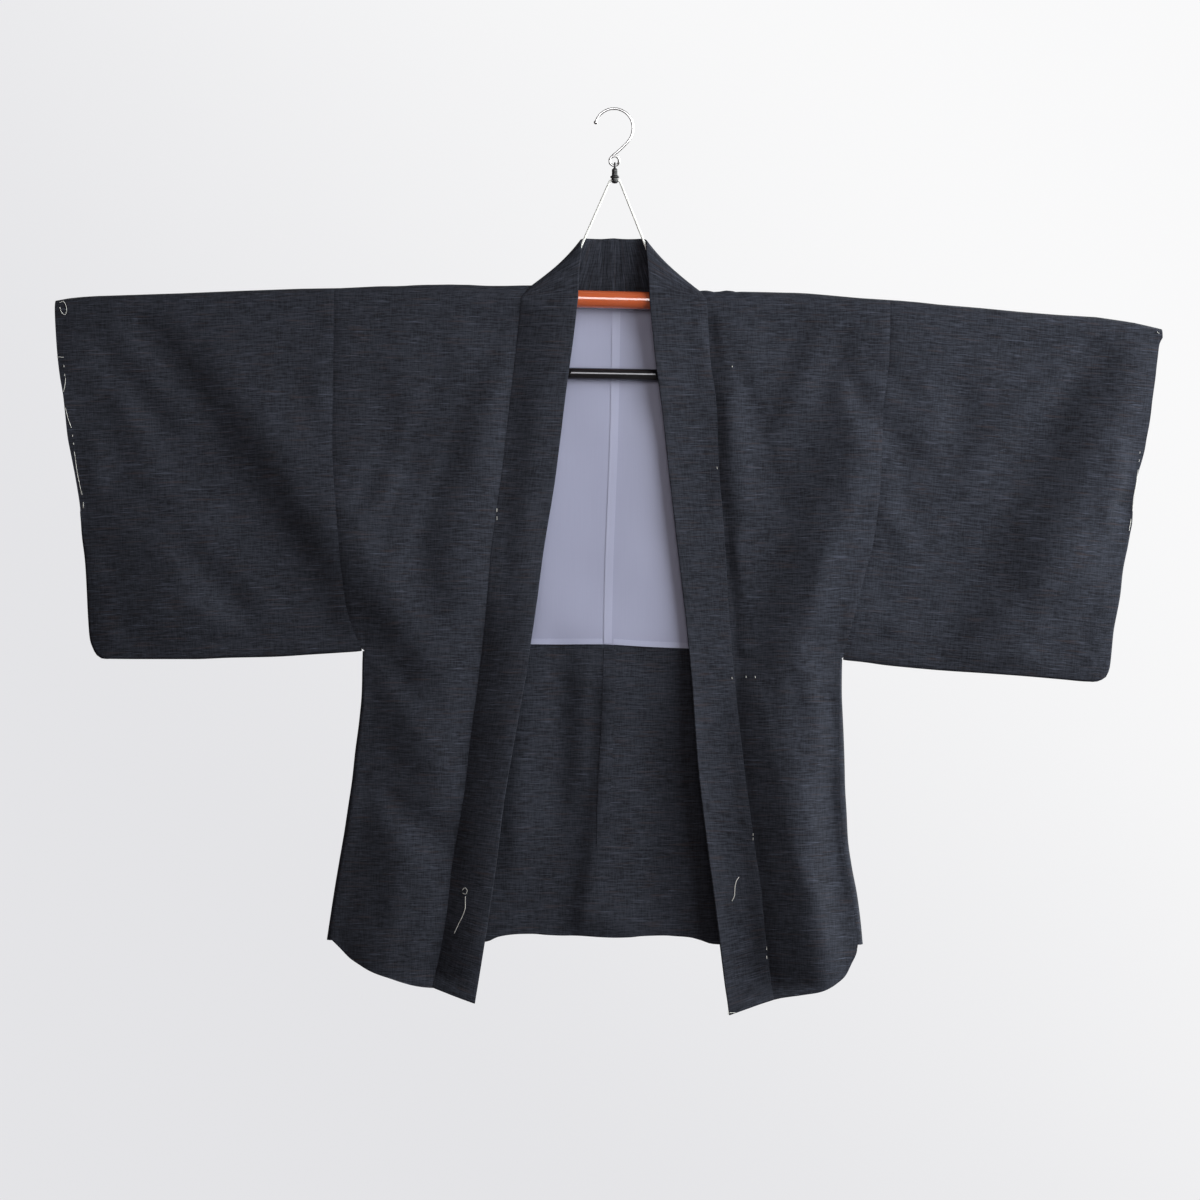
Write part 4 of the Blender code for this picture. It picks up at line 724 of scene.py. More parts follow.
def lift(points: Array, depth: Array) -> Array:
    """(across, drop) and a depth as places in space: across, depth, height."""
    return np.stack([points[..., 0], depth, -points[..., 1]], axis=-1)


def on_grid(depth: Callable[[Array], Array], grid: Array) -> Array:
    """A depth function read at each place of a grid (rows, columns, 2)."""
    return depth(grid.reshape(-1, 2)).reshape(grid.shape[:2])


def coons(top: Array, bottom: Array, left: Array, right: Array) -> Array:
    """Fills four borders with a grid.

    Each place is the blend of top and bottom, plus the blend of left and right, less the blend of
    the four corners.

    Args:
        top: from the left border to the right one, n rows.
        bottom: the same way, n rows.
        left: from the top down, m rows.
        right: the same way, m rows.

    Returns:
        The grid (m, n, 2).
    """
    u = (run_of(top) / run_of(top)[-1])[None, :, None]
    v = np.linspace(0, 1, len(left))[:, None, None]
    ruled = (1 - v) * top[None] + v * bottom[None] + (1 - u) * left[:, None] + u * right[:, None]
    corners = (
        (1 - u) * (1 - v) * top[0] + u * (1 - v) * top[-1] + (1 - u) * v * bottom[0] + u * v * bottom[-1]
    )
    return ruled - corners


# ---------------------------------------------------------------- meshes


class Bolt:
    """Gathers grids of places and faces into one surface, with its threads' own coordinates."""

    def __init__(self) -> None:
        """Starts empty."""
        self.places: list[Array] = []
        self.faces: list[Array] = []
        self.threads: list[Array] = []
        self.count = 0

    def lay(self, places: Array) -> Array:
        """Adds a grid of places.

        Args:
            places: (rows, columns, 3), in millimetres.

        Returns:
            The places' numbers (rows, columns).
        """
        numbers = np.arange(self.count, self.count + places[..., 0].size).reshape(places.shape[:-1])
        self.places.append(places.reshape(-1, 3))
        self.count += numbers.size
        return numbers

    def skin(self, numbers: Array, thread: Array) -> None:
        """Joins a grid of numbered places with four-sided faces.

        Args:
            numbers: (rows, columns).
            thread: (rows, columns, 2), millimetres along the weft and along the warp.
        """
        low, high = slice(None, -1), slice(1, None)
        corners = ((low, low), (high, low), (high, high), (low, high))
        self.faces.append(np.stack([numbers[c] for c in corners], axis=-1).reshape(-1, 4))
        self.threads.append(np.stack([thread[c] for c in corners], axis=-2).reshape(-1, 4, 2))

    def mesh(self, name: str) -> bpy.types.Mesh:
        """The gathered surface as a smooth mesh in metres, all its faces turned one way."""
        made = bpy.data.meshes.new(name)
        places = np.concatenate(self.places) * MM
        made.from_pydata(places.tolist(), [], np.concatenate(self.faces).tolist())
        layer = made.uv_layers.new(name="thread")
        layer.data.foreach_set("uv", (np.concatenate(self.threads) * MM).ravel().astype(np.float32))
        build = bmesh.new()
        build.from_mesh(made)
        bmesh.ops.remove_doubles(build, verts=build.verts, dist=1e-6)
        bmesh.ops.recalc_face_normals(build, faces=build.faces)
        build.to_mesh(made)
        build.free()
        made.shade_smooth()
        return made


def sweep(path: Array, radii: Array, sides: int = 24, up: Array = np.array([0.0, 1.0, 0.0])) -> Array:
    """A round profile carried along a path, closed to a point at both ends.

    Each ring is centre + radius * (cos a * side + sin a * other), with side = way x up and
    other = side x way.

    Args:
        path: places in space, one row each.
        radii: a radius for each place.
        sides: steps round the profile.
        up: a direction that the path never takes.

    Returns:
        The grid (places + 2, sides + 1, 3); its last column repeats the first.
    """
    way = np.gradient(path, axis=0)
    way /= np.linalg.norm(way, axis=1)[:, None]
    side = np.cross(way, up)
    side /= np.linalg.norm(side, axis=1)[:, None]
    other = np.cross(side, way)
    angle = np.linspace(0, 2 * np.pi, sides + 1)[None, :, None]
    rings = path[:, None] + np.asarray(radii)[:, None, None] * (
        np.cos(angle) * side[:, None] + np.sin(angle) * other[:, None]
    )
    ends = [np.repeat(path[i][None, None], sides + 1, axis=1) for i in (0, -1)]
    return np.concatenate([ends[0], rings, ends[1]])


def swept_threads(grid: Array, radius: float) -> Array:
    """Thread coordinates of a swept grid: round it, and along its middle."""
    along_it = run_of(grid.mean(axis=1))[:, None] * np.ones(grid.shape[1])
    round_it = np.linspace(0, 2 * np.pi * radius, grid.shape[1])[None] * np.ones((len(grid), 1))
    return np.stack([round_it, along_it], axis=-1)


def add_sweep(bolt: Bolt, path: Array, radii: Array | float, sides: int = 24) -> None:
    """Adds a closed round bar along a path to a gathered surface.

    Args:
        bolt: the surface.
        path: places in space, one row each.
        radii: one radius for the whole bar, or one for each place.
        sides: steps round it.
    """
    radii = np.broadcast_to(np.asarray(radii, float), (len(path),))
    grid = sweep(np.asarray(path, float), radii, sides)
    bolt.skin(bolt.lay(grid), swept_threads(grid, float(radii.max())))


def add_ball(bolt: Bolt, centre: Array, radius: float) -> None:
    """Adds a ball, as a round profile carried along its own axis."""
    tip = 0.12  # angle left out at each pole
    turn = np.linspace(tip, np.pi - tip, 12)
    path = np.asarray(centre, float) + np.stack([0 * turn, 0 * turn, -np.cos(turn)], axis=1) * radius
    add_sweep(bolt, path, np.sin(turn) * radius, 20)


def add_wall(piece: bpy.types.Object, wall: float) -> None:
    """Gives the surface of a piece a thickness in millimetres, half to each side."""
    thick = piece.modifiers.new("wall", "SOLIDIFY")
    thick.thickness, thick.offset = wall * MM, 0.0


def bake(piece: bpy.types.Object, name: str) -> None:
    """Puts what a piece's modifiers make of its mesh in the mesh's place."""
    graph = bpy.context.evaluated_depsgraph_get()
    piece.data = bpy.data.meshes.new_from_object(piece.evaluated_get(graph))
    piece.data.name = name
    piece.modifiers.clear()


def place(
    name: str, mesh: bpy.types.Mesh, material: bpy.types.Material, wall: float = 0.0
) -> bpy.types.Object:
    """Puts a mesh in the scene as one named piece.

    Args:
        name: the piece's name.
        mesh: its surface.
        material: its finish.
        wall: thickness in millimetres that the surface gets, half to each side, or 0 for a closed form.

    Returns:
        The piece, at the origin.
    """
    piece = bpy.data.objects.new(name, mesh)
    bpy.context.scene.collection.objects.link(piece)
    if wall:
        add_wall(piece, wall)
        bake(piece, name)
    piece.data.set_sharp_from_angle(angle=SHARP_EDGE)
    piece.data.materials.clear()
    piece.data.materials.append(material)
    return piece


# ---------------------------------------------------------------- finishes


class Tone:
    """One output of a shading node, with arithmetic on it."""

    def __init__(self, recipe: "Recipe", output: bpy.types.NodeSocket) -> None:
        """Wraps an output of a node in a recipe."""
        self.recipe = recipe
        self.output = output

    def _with(self, operation: str, other: "Tone | float" = 0.0) -> "Tone":
        """The result of a Math node on this value and another."""
        made = self.recipe.node("ShaderNodeMath", {"operation": operation}, {0: self, 1: other})
        return Tone(self.recipe, made)

    def __add__(self, other: "Tone | float") -> "Tone":
        """Sum."""
        return self._with("ADD", other)

    __radd__ = __add__

    def __sub__(self, other: "Tone | float") -> "Tone":
        """Difference."""
        return self._with("SUBTRACT", other)

    def __mul__(self, other: "Tone | float") -> "Tone":
        """Product."""
        return self._with("MULTIPLY", other)

    __rmul__ = __mul__

    def sine(self) -> "Tone":
        """Sine, in radians."""
        return self._with("SINE")

    def step(self, low: float, high: float) -> "Tone":
        """Smooth step from 0 at `low` to 1 at `high`."""
        settings = {"interpolation_type": "SMOOTHSTEP", "clamp": True}
        return Tone(self.recipe, self.recipe.node("ShaderNodeMapRange", settings, {0: self, 1: low, 2: high}))


class Recipe:
    """A material in the making: a Principled shader and the nodes that feed it."""

    def __init__(self, name: str) -> None:
        """Starts a material with a Principled shader."""
        self.material = bpy.data.materials.new(name)
        self.material.use_nodes = True
        self.tree = self.material.node_tree
        self.shader = self.tree.nodes["Principled BSDF"]

    def node(self, kind: str, settings: dict, inputs: dict, output: int | str = 0) -> bpy.types.NodeSocket:
        """Adds a node.

        Args:
            kind: its type.
            settings: its properties, set first.
            inputs: socket names or numbers, each with a value or a Tone that is linked.
            output: name or number of the output that is wanted.

        Returns:
            That output.
        """
        made = self.tree.nodes.new(kind)
        for key, value in settings.items():
            setattr(made, key, value)
        for key, value in inputs.items():
            if isinstance(value, Tone):
                self.tree.links.new(value.output, made.inputs[key])
            else:
                made.inputs[key].default_value = value
        return made.outputs[output]

    def thread(self) -> Tone:
        """The piece's own thread coordinates, in metres."""
        return Tone(self, self.node("ShaderNodeUVMap", {"uv_map": "thread"}, {}))

    def inside_piece(self) -> Tone:
        """Object coordinates, in metres."""
        return Tone(self, self.node("ShaderNodeTexCoord", {}, {}, "Object"))

    def scaled(self, vector: Tone, scale: tuple, shift: tuple = (0.0, 0.0, 0.0)) -> Tone:
        """A vector stretched and shifted by a Mapping node."""
        inputs = {"Vector": vector, "Scale": scale, "Location": shift}
        return Tone(self, self.node("ShaderNodeMapping", {}, inputs))

    def noise(self, vector: Tone, scale: float, detail: float = 2.0, roughness: float = 0.5) -> Tone:
        """Smooth noise from 0 to 1."""
        inputs = {"Vector": vector, "Scale": scale, "Detail": detail, "Roughness": roughness}
        return Tone(self, self.node("ShaderNodeTexNoise", {}, inputs))

    def part(self, vector: Tone, axis: str) -> Tone:
        """One component of a vector."""
        return Tone(self, self.node("ShaderNodeSeparateXYZ", {}, {0: vector}, axis))

    def mix(self, share: Tone | float, first: "Tone | tuple", second: "Tone | tuple") -> Tone:
        """A colour between two."""
        colours = [value if isinstance(value, Tone) else (*value, 1.0) for value in (first, second)]
        inputs = {0: share, 6: colours[0], 7: colours[1]}
        return Tone(self, self.node("ShaderNodeMix", {"data_type": "RGBA"}, inputs, 2))

    def finish(
        self,
        colour: Tone,
        roughness: Tone | float,
        height: Tone | None = None,
        relief: float = 0.0,
        strength: float = 1.0,
        **fixed: float,
    ) -> bpy.types.Material:
        """Joins the nodes to the shader.

        Args:
            colour: base colour.
            roughness: a value or a Tone.
            height: relief from 0 to 1, or None for a plain surface.
            relief: the real height in millimetres of that relief.
            strength: share of the relief that shows.
            fixed: other sockets of the shader, with spaces as underscores, set to plain values.

        Returns:
            The finished material.
        """
        self.tree.links.new(colour.output, self.shader.inputs["Base Color"])
        if isinstance(roughness, Tone):
            self.tree.links.new(roughness.output, self.shader.inputs["Roughness"])
        else:
            self.shader.inputs["Roughness"].default_value = roughness
        if height is not None:
            inputs = {"Height": height, "Distance": relief * MM, "Strength": strength}
            bump = self.node("ShaderNodeBump", {}, inputs)
            self.tree.links.new(bump, self.shader.inputs["Normal"])
        for key, value in fixed.items():
            self.shader.inputs[key.replace("_", " ")].default_value = value
        return self.material


@dataclass(frozen=True)
class Marks:
    """Noise drawn out into marks along the threads or the length of a piece."""

    to_metre: tuple[float, float, float]  # how many marks to the metre each way
    detail: float
    rough: float
    cut: tuple[float, float] | None = None  # noise that is still bare, and noise that is a full mark
    shift: tuple[float, float, float] = (0.0, 0.0, 0.0)  # keeps two kinds of marks from falling together

    def tone(self, vector: Tone) -> Tone:
        """The marks' strength from 0 to 1 over a vector."""
        recipe = vector.recipe
        noise = recipe.noise(recipe.scaled(vector, self.to_metre, self.shift), 1.0, self.detail, self.rough)
        return noise.step(*self.cut) if self.cut else noise


@dataclass(frozen=True)
class Weave:
    """Plain weave, as the product of a sine wave across and one along."""

    weft: float  # millimetres between two threads
    warp: float

    def waves(self, thread: Tone) -> tuple[Tone, Tone]:
        """The wave along the warp, which passes each weft thread, and the one along the weft."""
        recipe, turn = thread.recipe, 2 * math.pi
        along_warp = recipe.part(thread, "Y") * (turn / (self.weft * MM))
        return along_warp.sine(), (recipe.part(thread, "X") * (turn / (self.warp * MM))).sine()


@dataclass(frozen=True)
class SlubCloth:
    """Dark charcoal navy cloth with long slubs in its weft."""

    name: str = "slub_cloth"
    dark: tuple = (0.0064, 0.0066, 0.0096)
    light: tuple = (0.0334, 0.0362, 0.0492)
    slub_colour: tuple = (0.0720, 0.0800, 0.1120)
    brown_colour: tuple = (0.0420, 0.0290, 0.0290)
    roughness: float = 0.85
    relief: float = 0.25
    shade: Marks = Marks((9.0, 14.0, 1.0), 3.0, 0.6, (0.3, 0.7))
    yarn: Marks = Marks((42.0, 540.0, 1.0), 2.5, 0.7, (0.36, 0.64))
    grain: Marks = Marks((640.0, 60.0, 1.0), 2.0, 0.6, (0.34, 0.66), (2.1, 4.4, 0.0))
    slub: Marks = Marks((30.0, 450.0, 1.0), 1.5, 0.5, (0.60, 0.74), (3.7, 1.9, 0.0))
    fine: Marks = Marks((110.0, 900.0, 1.0), 1.0, 0.5, (0.52, 0.74), (8.1, 5.3, 0.0))
    brown: Marks = Marks((26.0, 420.0, 1.0), 1.0, 0.4, (0.58, 0.75), (1.3, 9.7, 0.0))
    weave: Weave = Weave(1.1, 0.9)

    def material(self) -> bpy.types.Material:
        """Thread-long marks for the yarns and slubs of the weft, a faint grain along the warp."""
        r = Recipe(self.name)
        thread = r.thread()
        kinds = (self.shade, self.yarn, self.grain, self.slub, self.fine, self.brown)
        shade, yarn, grain, slub, fine, brown = (kind.tone(thread) for kind in kinds)
        base = r.mix(shade * 0.16 + yarn * 0.54 + grain * 0.30, self.dark, self.light)
        base = r.mix(brown * 0.42, base, self.brown_colour)
        base = r.mix(slub * 0.40 + fine * 0.26, base, self.slub_colour)
        weft, warp = self.weave.waves(thread)
        height = yarn * 0.6 + slub * 0.7 + fine * 0.4 + grain * 0.3 + weft * warp * 0.12
        gloss = {"Specular_IOR_Level": 0.12, "Sheen_Weight": 0.04, "Sheen_Roughness": 0.4}
        return r.finish(base, self.roughness + 0.06 * yarn, height, self.relief, 0.7, **gloss)


@dataclass(frozen=True)
class LiningCloth:
    """Smooth lavender-grey lining with a faint warp."""

    name: str = "lining_cloth"
    dark: tuple = (0.276, 0.278, 0.395)
    light: tuple = (0.327, 0.331, 0.456)
    roughness: float = 0.55
    relief: float = 0.08
    shade: Marks = Marks((7.0, 3.0, 1.0), 3.0, 0.55, (0.25, 0.75))
    warp_marks: Marks = Marks((900.0, 18.0, 1.0), 2.0, 0.5)
    weave: Weave = Weave(0.6, 0.5)

    def material(self) -> bpy.types.Material:
        """Warp-long marks over a broad change of shade, with a fine plain weave."""
        r = Recipe(self.name)
        thread = r.thread()
        shade, marks = self.shade.tone(thread), self.warp_marks.tone(thread)
        base = r.mix(shade * 0.6 + marks * 0.4, self.dark, self.light)
        weft, warp = self.weave.waves(thread)
        height = marks * 0.7 + weft * warp * 0.15
        gloss = {"Specular_IOR_Level": 0.35, "Sheen_Weight": 0.15}
        return r.finish(base, self.roughness + 0.1 * shade, height, self.relief, 0.5, **gloss)


@dataclass(frozen=True)
class Lacquer:
    """A glossy coat on metal, with faint long scratches and dust."""

    name: str
    colour: tuple
    worn: tuple
    roughness: float = 0.16
    coat: float = 1.0
    relief: float = 0.02
    scratches: Marks = Marks((25.0, 1400.0, 1400.0), 3.0, 0.6, (0.55, 0.8))

    def material(self) -> bpy.types.Material:
        """Long thin marks along X for the scratches, broad noise for dust."""
        r = Recipe(self.name)
        spot = r.inside_piece()
        scratch = self.scratches.tone(spot)
        dust = r.noise(spot, 60.0, 4.0, 0.6).step(0.4, 0.75)
        base = r.mix(scratch * 0.35 + dust * 0.15, self.colour, self.worn)
        roughness = self.roughness + 0.12 * scratch + 0.08 * dust
        return r.finish(
            base, roughness, scratch, self.relief, 0.3, Coat_Weight=self.coat, Coat_Roughness=0.06
        )


@dataclass(frozen=True)
class DrawnSteel:
    """Bright drawn wire, dulled a little by handling."""

    name: str = "drawn_steel"
    bright: tuple = (0.62, 0.61, 0.60)
    dull: tuple = (0.36, 0.35, 0.34)
    roughness: float = 0.16
    relief: float = 0.02
    drawing: Marks = Marks((2600.0, 60.0, 1.0), 2.0, 0.5)

    def material(self) -> bpy.types.Material:
        """Fine marks along the wire and broad dull patches."""
        r = Recipe(self.name)
        marks = self.drawing.tone(r.thread())
        dull = r.noise(r.inside_piece(), 140.0, 4.0, 0.6).step(0.35, 0.75)
        base = r.mix(dull * 0.7, self.bright, self.dull)
        roughness = self.roughness + 0.2 * dull + 0.08 * marks
        return r.finish(base, roughness, marks, self.relief, 0.4, Metallic=1.0)


@dataclass(frozen=True)
class MouldedPlastic:
    """Dark plastic with a faint moulded grain."""

    name: str = "moulded_plastic"
    dark: tuple = (0.012, 0.011, 0.012)
    pale: tuple = (0.045, 0.042, 0.044)
    roughness: float = 0.32
    relief: float = 0.05

    def material(self) -> bpy.types.Material:
        """Fine grain and pale rubbed patches."""
        r = Recipe(self.name)
        spot = r.inside_piece()
        grain = r.noise(spot, 2400.0, 3.0, 0.6)
        rubbed = r.noise(spot, 220.0, 3.0, 0.6).step(0.5, 0.8)
        base = r.mix(rubbed * 0.5, self.dark, self.pale)
        return r.finish(base, self.roughness + 0.15 * grain, grain, self.relief, 0.4)


@dataclass(frozen=True)
class BraidedCord:
    """White cord braided from fine yarns."""

    name: str = "braided_cord"
    pale: tuple = (0.92, 0.91, 0.89)
    # painted shade: the darker colour that the hollows between the yarns take
    shade: tuple = (0.70, 0.69, 0.66)
    roughness: float = 0.8
    relief: float = 0.15
    turn: float = 1.73  # millimetres round the cord between two yarns
    run: float = 3.1  # millimetres along it

    def material(self) -> bpy.types.Material:
        """Two crossing spirals of sine waves along the cord: its relief, and painted shade in the hollows
        between its yarns.
        """
        r = Recipe(self.name)
        thread = r.thread()
        turn = r.part(thread, "X") * (2 * math.pi / (self.turn * MM))
        run = r.part(thread, "Y") * (2 * math.pi / (self.run * MM))
        braid_and_painted_shade = ((turn + run).sine() * (turn - run).sine()).step(-0.7, 0.7)
        dust = r.noise(r.inside_piece(), 300.0, 3.0, 0.6)
        # painted shade: where the braid is low, between the yarns, the colour darkens
        base = r.mix(braid_and_painted_shade * 0.75 + dust * 0.25, self.shade, self.pale)
        return r.finish(base, self.roughness + 0.1 * dust, braid_and_painted_shade, self.relief, 0.5, Sheen_Weight=0.1)


Finish = SlubCloth | LiningCloth | Lacquer | DrawnSteel | MouldedPlastic | BraidedCord


def made_of(finish: Finish) -> bpy.types.Material:
    """A field of the wardrobe that holds the material of a finish."""
    return field(default_factory=finish.material)


@dataclass
class Wardrobe:
    """Every finish of the garment and its hanger, made once."""

    cloth: bpy.types.Material = made_of(SlubCloth())
    lining: bpy.types.Material = made_of(LiningCloth())
    lining_band: bpy.types.Material = made_of(
        LiningCloth("lining_band", (0.325, 0.327, 0.458), (0.376, 0.381, 0.518))
    )
    # basting thread: pale yarns, and painted shade in the hollows between them
    thread: bpy.types.Material = made_of(
        BraidedCord("basting_thread", (0.82, 0.81, 0.78), (0.62, 0.60, 0.57))
    )
    cord: bpy.types.Material = made_of(BraidedCord())
    steel: bpy.types.Material = made_of(DrawnSteel())
    plastic: bpy.types.Material = made_of(MouldedPlastic())
    tube: bpy.types.Material = made_of(
        Lacquer("orange_lacquer", (0.50, 0.095, 0.030), (0.58, 0.17, 0.09), 0.13)
    )
    bar: bpy.types.Material = made_of(
        Lacquer("black_lacquer", (0.009, 0.008, 0.009), (0.03, 0.03, 0.034), 0.07, 0.3)
    )


# ---------------------------------------------------------------- the garment


def rotated(points: Array, degrees: float) -> Array:
    """Places turned in the plane, so that the weft follows the droop of a sleeve."""
    a = math.radians(degrees)
    x, d = points[..., 0], points[..., 1]
    return np.stack([x * math.cos(a) - d * math.sin(a), x * math.sin(a) + d * math.cos(a)], axis=-1)


def armhole_of(half: Half, gap: float) -> Array:
    """Seam of sleeve and body, shoulder to armpit, moved `gap` outwards."""
    line = half.armhole.copy()
    line[0, 1] = DRAPE.rest_drop(line[0, 0])
    step = 4
    fine = falling(line, np.arange(line[0, 1], line[-1, 1], step))
    return np.vstack([fine, line[-1:]]) + [half.sign * gap, 0]


def side_of(half: Half, count: int = 90) -> Array:
    """Seam of front, gusset and back, below the sleeve to the hem."""
    return falling(half.side, np.linspace(half.side[0, 1], half.side[-1, 1], count))


def centre_of(count: int = 180) -> Array:
    """Centre back seam, neck to hem."""
    return falling(CENTRE, np.linspace(CENTRE[0, 1], CENTRE[-1, 1], count))


def between(line: Array, first: float, last: float, count: int = 160) -> Array:
    """The stretch of a falling line from one drop to another."""
    drops = np.linspace(first, last, count)
    return np.stack([np.interp(drops, line[:, 1], line[:, 0]), drops], axis=1)


def row_between(
    rows: Array, start: Array, end: Array, count: int = FINE_ROWS, room: float = 12.0
) -> Array:
    """A line across through the rows of a table, from one place to another.

    Args:
        rows: the table.
        start: where the line starts.
        end: where it ends.
        count: how many steps to take.
        room: rows nearer than this to either end are left out.

    Returns:
        count + 1 places.
    """
    way = 1 if end[0] > start[0] else -1
    ordered = rows[np.argsort(way * rows[:, 0])]
    kept = (way * ordered[:, 0] > way * start[0] + room) & (way * ordered[:, 0] < way * end[0] - room)
    return curve(np.vstack([start, ordered[kept], end]), count)


def stepped(count: int, reach: float, way: int, first: float = 2.2) -> Array:
    """Even steps from 0 to `reach`, with one narrow step of `first` millimetres before them."""
    return np.concatenate([[0.0], np.linspace(way * first, reach, count)])


def shoulder_arch(front: Array, back: Array, radius: Array, steps: int = 11) -> Array:
    """Half ellipses over the shoulder: middle + cos a * half span + sin a * radius upwards.

    Args:
        front: places on the front edge, one row each.
        back: places on the back edge.
        radius: the rise at each place.
        steps: how many steps each arch takes.

    Returns:
        (steps - 1, places, 3), the ends left out.
    """
    turn = np.linspace(0, np.pi, steps + 1)[1:-1, None, None]
    middle, half_span = (front + back) / 2, (front - back) / 2
    rise = radius[None, :, None] * np.array([0, 0, 1.0])
    return middle + np.cos(turn) * half_span + np.sin(turn) * rise


def skin_over(bolt: Bolt, ring: Array, first: Array, crest: Array) -> Array:
    """Skins the cloth over the shoulder, its threads running on by the length of the turn.

    Args:
        bolt: the surface so far.
        ring: numbers of the places, from the front's top row to the back's.
        first: thread coordinates of the front's top row.
        crest: the rise over the tube at each place of that row.

    Returns:
        Thread coordinates of the back's top row.
    """
    turn = np.linspace(0, np.pi, len(ring))[:, None] * crest
    drawn = first - np.stack([0 * turn, turn], axis=-1)
    bolt.skin(ring, drawn)
    return drawn[-1]


def neck_seam(half: Half, front: Array, back: Array, shares: Array) -> Array:
    """The collar seam over the shoulder.

    Args:
        half: which half.
        front: where it leaves the front.
        back: where it meets the back.
        shares: places along it, from 0 to 1.

    Returns:
        One place in space for each share.
    """
    up = [1, 1, -1]
    line = read_rows(shares, np.linspace(0, 1, len(half.neck)), half.neck) * up
    ends = [half.neck[i] * up for i in (0, -1)]
    return line + (1 - shares[:, None]) * (front - ends[0]) + shares[:, None] * (back - ends[1])


@dataclass
class Sleeve:
    """One sleeve: front and back sheets joined over the shoulder and round the closed edge."""

    half: Half
    cell: float = 4.5
    wall: float = 1.4
    fade: float = 12.0  # rows over which the closed edge grows out of the open cuff
    cut: tuple[float, float] = (0.335, 0.84)
    size: tuple[float, float] = (320.0, 410.0)  # width and height that the grid is laid out for
    open_share: float = 232 / 395  # share of the rows that lie along the open cuff
    edge_steps: int = 400
    edge_turn: int = 9  # rows round the closed edge
    seam_inset: float = 0.25

    def borders(self) -> tuple[Array, Array, Array, Array, int]:
        """The sleeve's four borders.

        Returns:
            Top, bottom, armhole and cuff lines, and the row at which the cuff opening ends.
        """
        seam = armhole_of(self.half, -self.seam_inset)
        closed = curve(self.half.closed, self.edge_steps)
        corner = int((np.abs(closed[:, 0]) + closed[:, 1]).argmax())
        columns, rows = (round(length / self.cell) for length in self.size)
        open_rows = round(rows * self.open_share)
        cuff = self.half.cuff.copy()
        cuff[0, 1] = DRAPE.rest_drop(cuff[0, 0])
        shut = at_shares(closed[: corner + 1], np.linspace(0, 1, rows - open_rows + 1))
        part = 1 - ease(np.arange(len(shut)) / self.fade)
        shut = shut + part[:, None] * (cuff[-1] - shut[0])
        outer = np.vstack([curve(cuff, open_rows)[:-1], shut])
        inner = at_shares(seam, np.linspace(0, 1, rows + 1))
        top = level_at(REST_LINE, seam[0, 0] + stepped(columns, cuff[0, 0] - seam[0, 0], self.half.sign))
        lower = np.vstack([seam[-1:], closed[: corner - 1 : -1][1:]])
        bottom = at_shares(lower, run_of(top) / run_of(top)[-1])
        return top, bottom, inner, outer, open_rows

    def build(self, wardrobe: Wardrobe) -> bpy.types.Object:
        """Args:
            wardrobe: the finishes.

        Returns:
            The piece.
        """
        top, bottom, inner, outer, open_rows = self.borders()
        flat = coons(top, bottom, inner, outer)
        thread = rotated(flat, self.half.tilt)
        crest = DRAPE.crest(top[:, 0])
        bolt = Bolt()
        front = bolt.lay(lift(flat, on_grid(DRAPE.front, flat)))
        back = bolt.lay(lift(flat, on_grid(DRAPE.back, flat)))
        places = np.concatenate(bolt.places)
        over = bolt.lay(shoulder_arch(places[front[0]], places[back[0]], crest))
        bolt.skin(front, thread)
        drawn = skin_over(bolt, np.vstack([front[:1], over, back[:1]]), thread[0], crest)
        back_thread = drawn + (thread - thread[0]) * [1, -1]
        bolt.skin(back, back_thread)
        self.close_edge(bolt, flat, front, back, thread, back_thread, open_rows)
        name = f"sleeve_{self.half.name}"
        piece = place(name + "_cloth", bolt.mesh(name), wardrobe.cloth, self.wall)
        return declare(piece, name)

    def close_edge(
        self,
        bolt: Bolt,
        flat: Array,
        front: Array,
        back: Array,
        thread: Array,
        back_thread: Array,
        open_rows: int,
    ) -> None:
        """Joins front and back round the closed edge with half circles that stand out from it.

        Args:
            bolt: the surface so far.
            flat: the sleeve's grid in the plane.
            front: numbers of the front's places.
            back: numbers of the back's places.
            thread: thread coordinates of the front.
            back_thread: thread coordinates of the back.
            open_rows: the row at which the cuff opening ends.
        """

        def rim_of(grid: Array) -> Array:
            """The closed edge of a grid: down its outer column, then back along its last row."""
            return np.concatenate([grid[open_rows:, -1], grid[-1, -2::-1]])

        rim = rim_of(flat)
        way = np.gradient(rim, axis=0)
        way /= np.linalg.norm(way, axis=1)[:, None]
        out = np.stack([way[:, 1], -way[:, 0]], axis=1) * self.half.sign
        gap = -np.concatenate(bolt.places)[rim_of(front)][:, 1]
        turn = np.linspace(0, np.pi, self.edge_turn)[:, None]
        grown = ease(np.arange(len(rim)) / self.fade)
        rows = lift(rim + out * (gap * grown * np.sin(turn[1:-1]))[..., None], -gap * np.cos(turn[1:-1]))
        ring = np.vstack([rim_of(front)[None], bolt.lay(rows), rim_of(back)[None]])
        reach = (turn * gap)[..., None] * out
        middle = len(ring) // 2 + 1
        bolt.skin(ring[:middle], rim_of(thread) + reach[:middle])
        bolt.skin(ring[middle - 1 :], rim_of(back_thread) + reach[::-1][middle - 1 :] * [1, -1])


def declare(
    piece: bpy.types.Object,
    node: str | None,
) -> bpy.types.Object:
    """Parents a piece to the root body and hides the solid that it replaces, if any.

    Args:
        piece: the piece.
        node: the solid that it replaces, if any.

    Returns:
        The piece.
    """
    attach(piece, "root")
    if node:
        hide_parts(node)
    return piece


def solid(
    bolt: Bolt, name: str, material: bpy.types.Material, node: str | None
) -> bpy.types.Object:
    """A closed form as one piece, declared."""
    return declare(place(name, bolt.mesh(name), material), node)


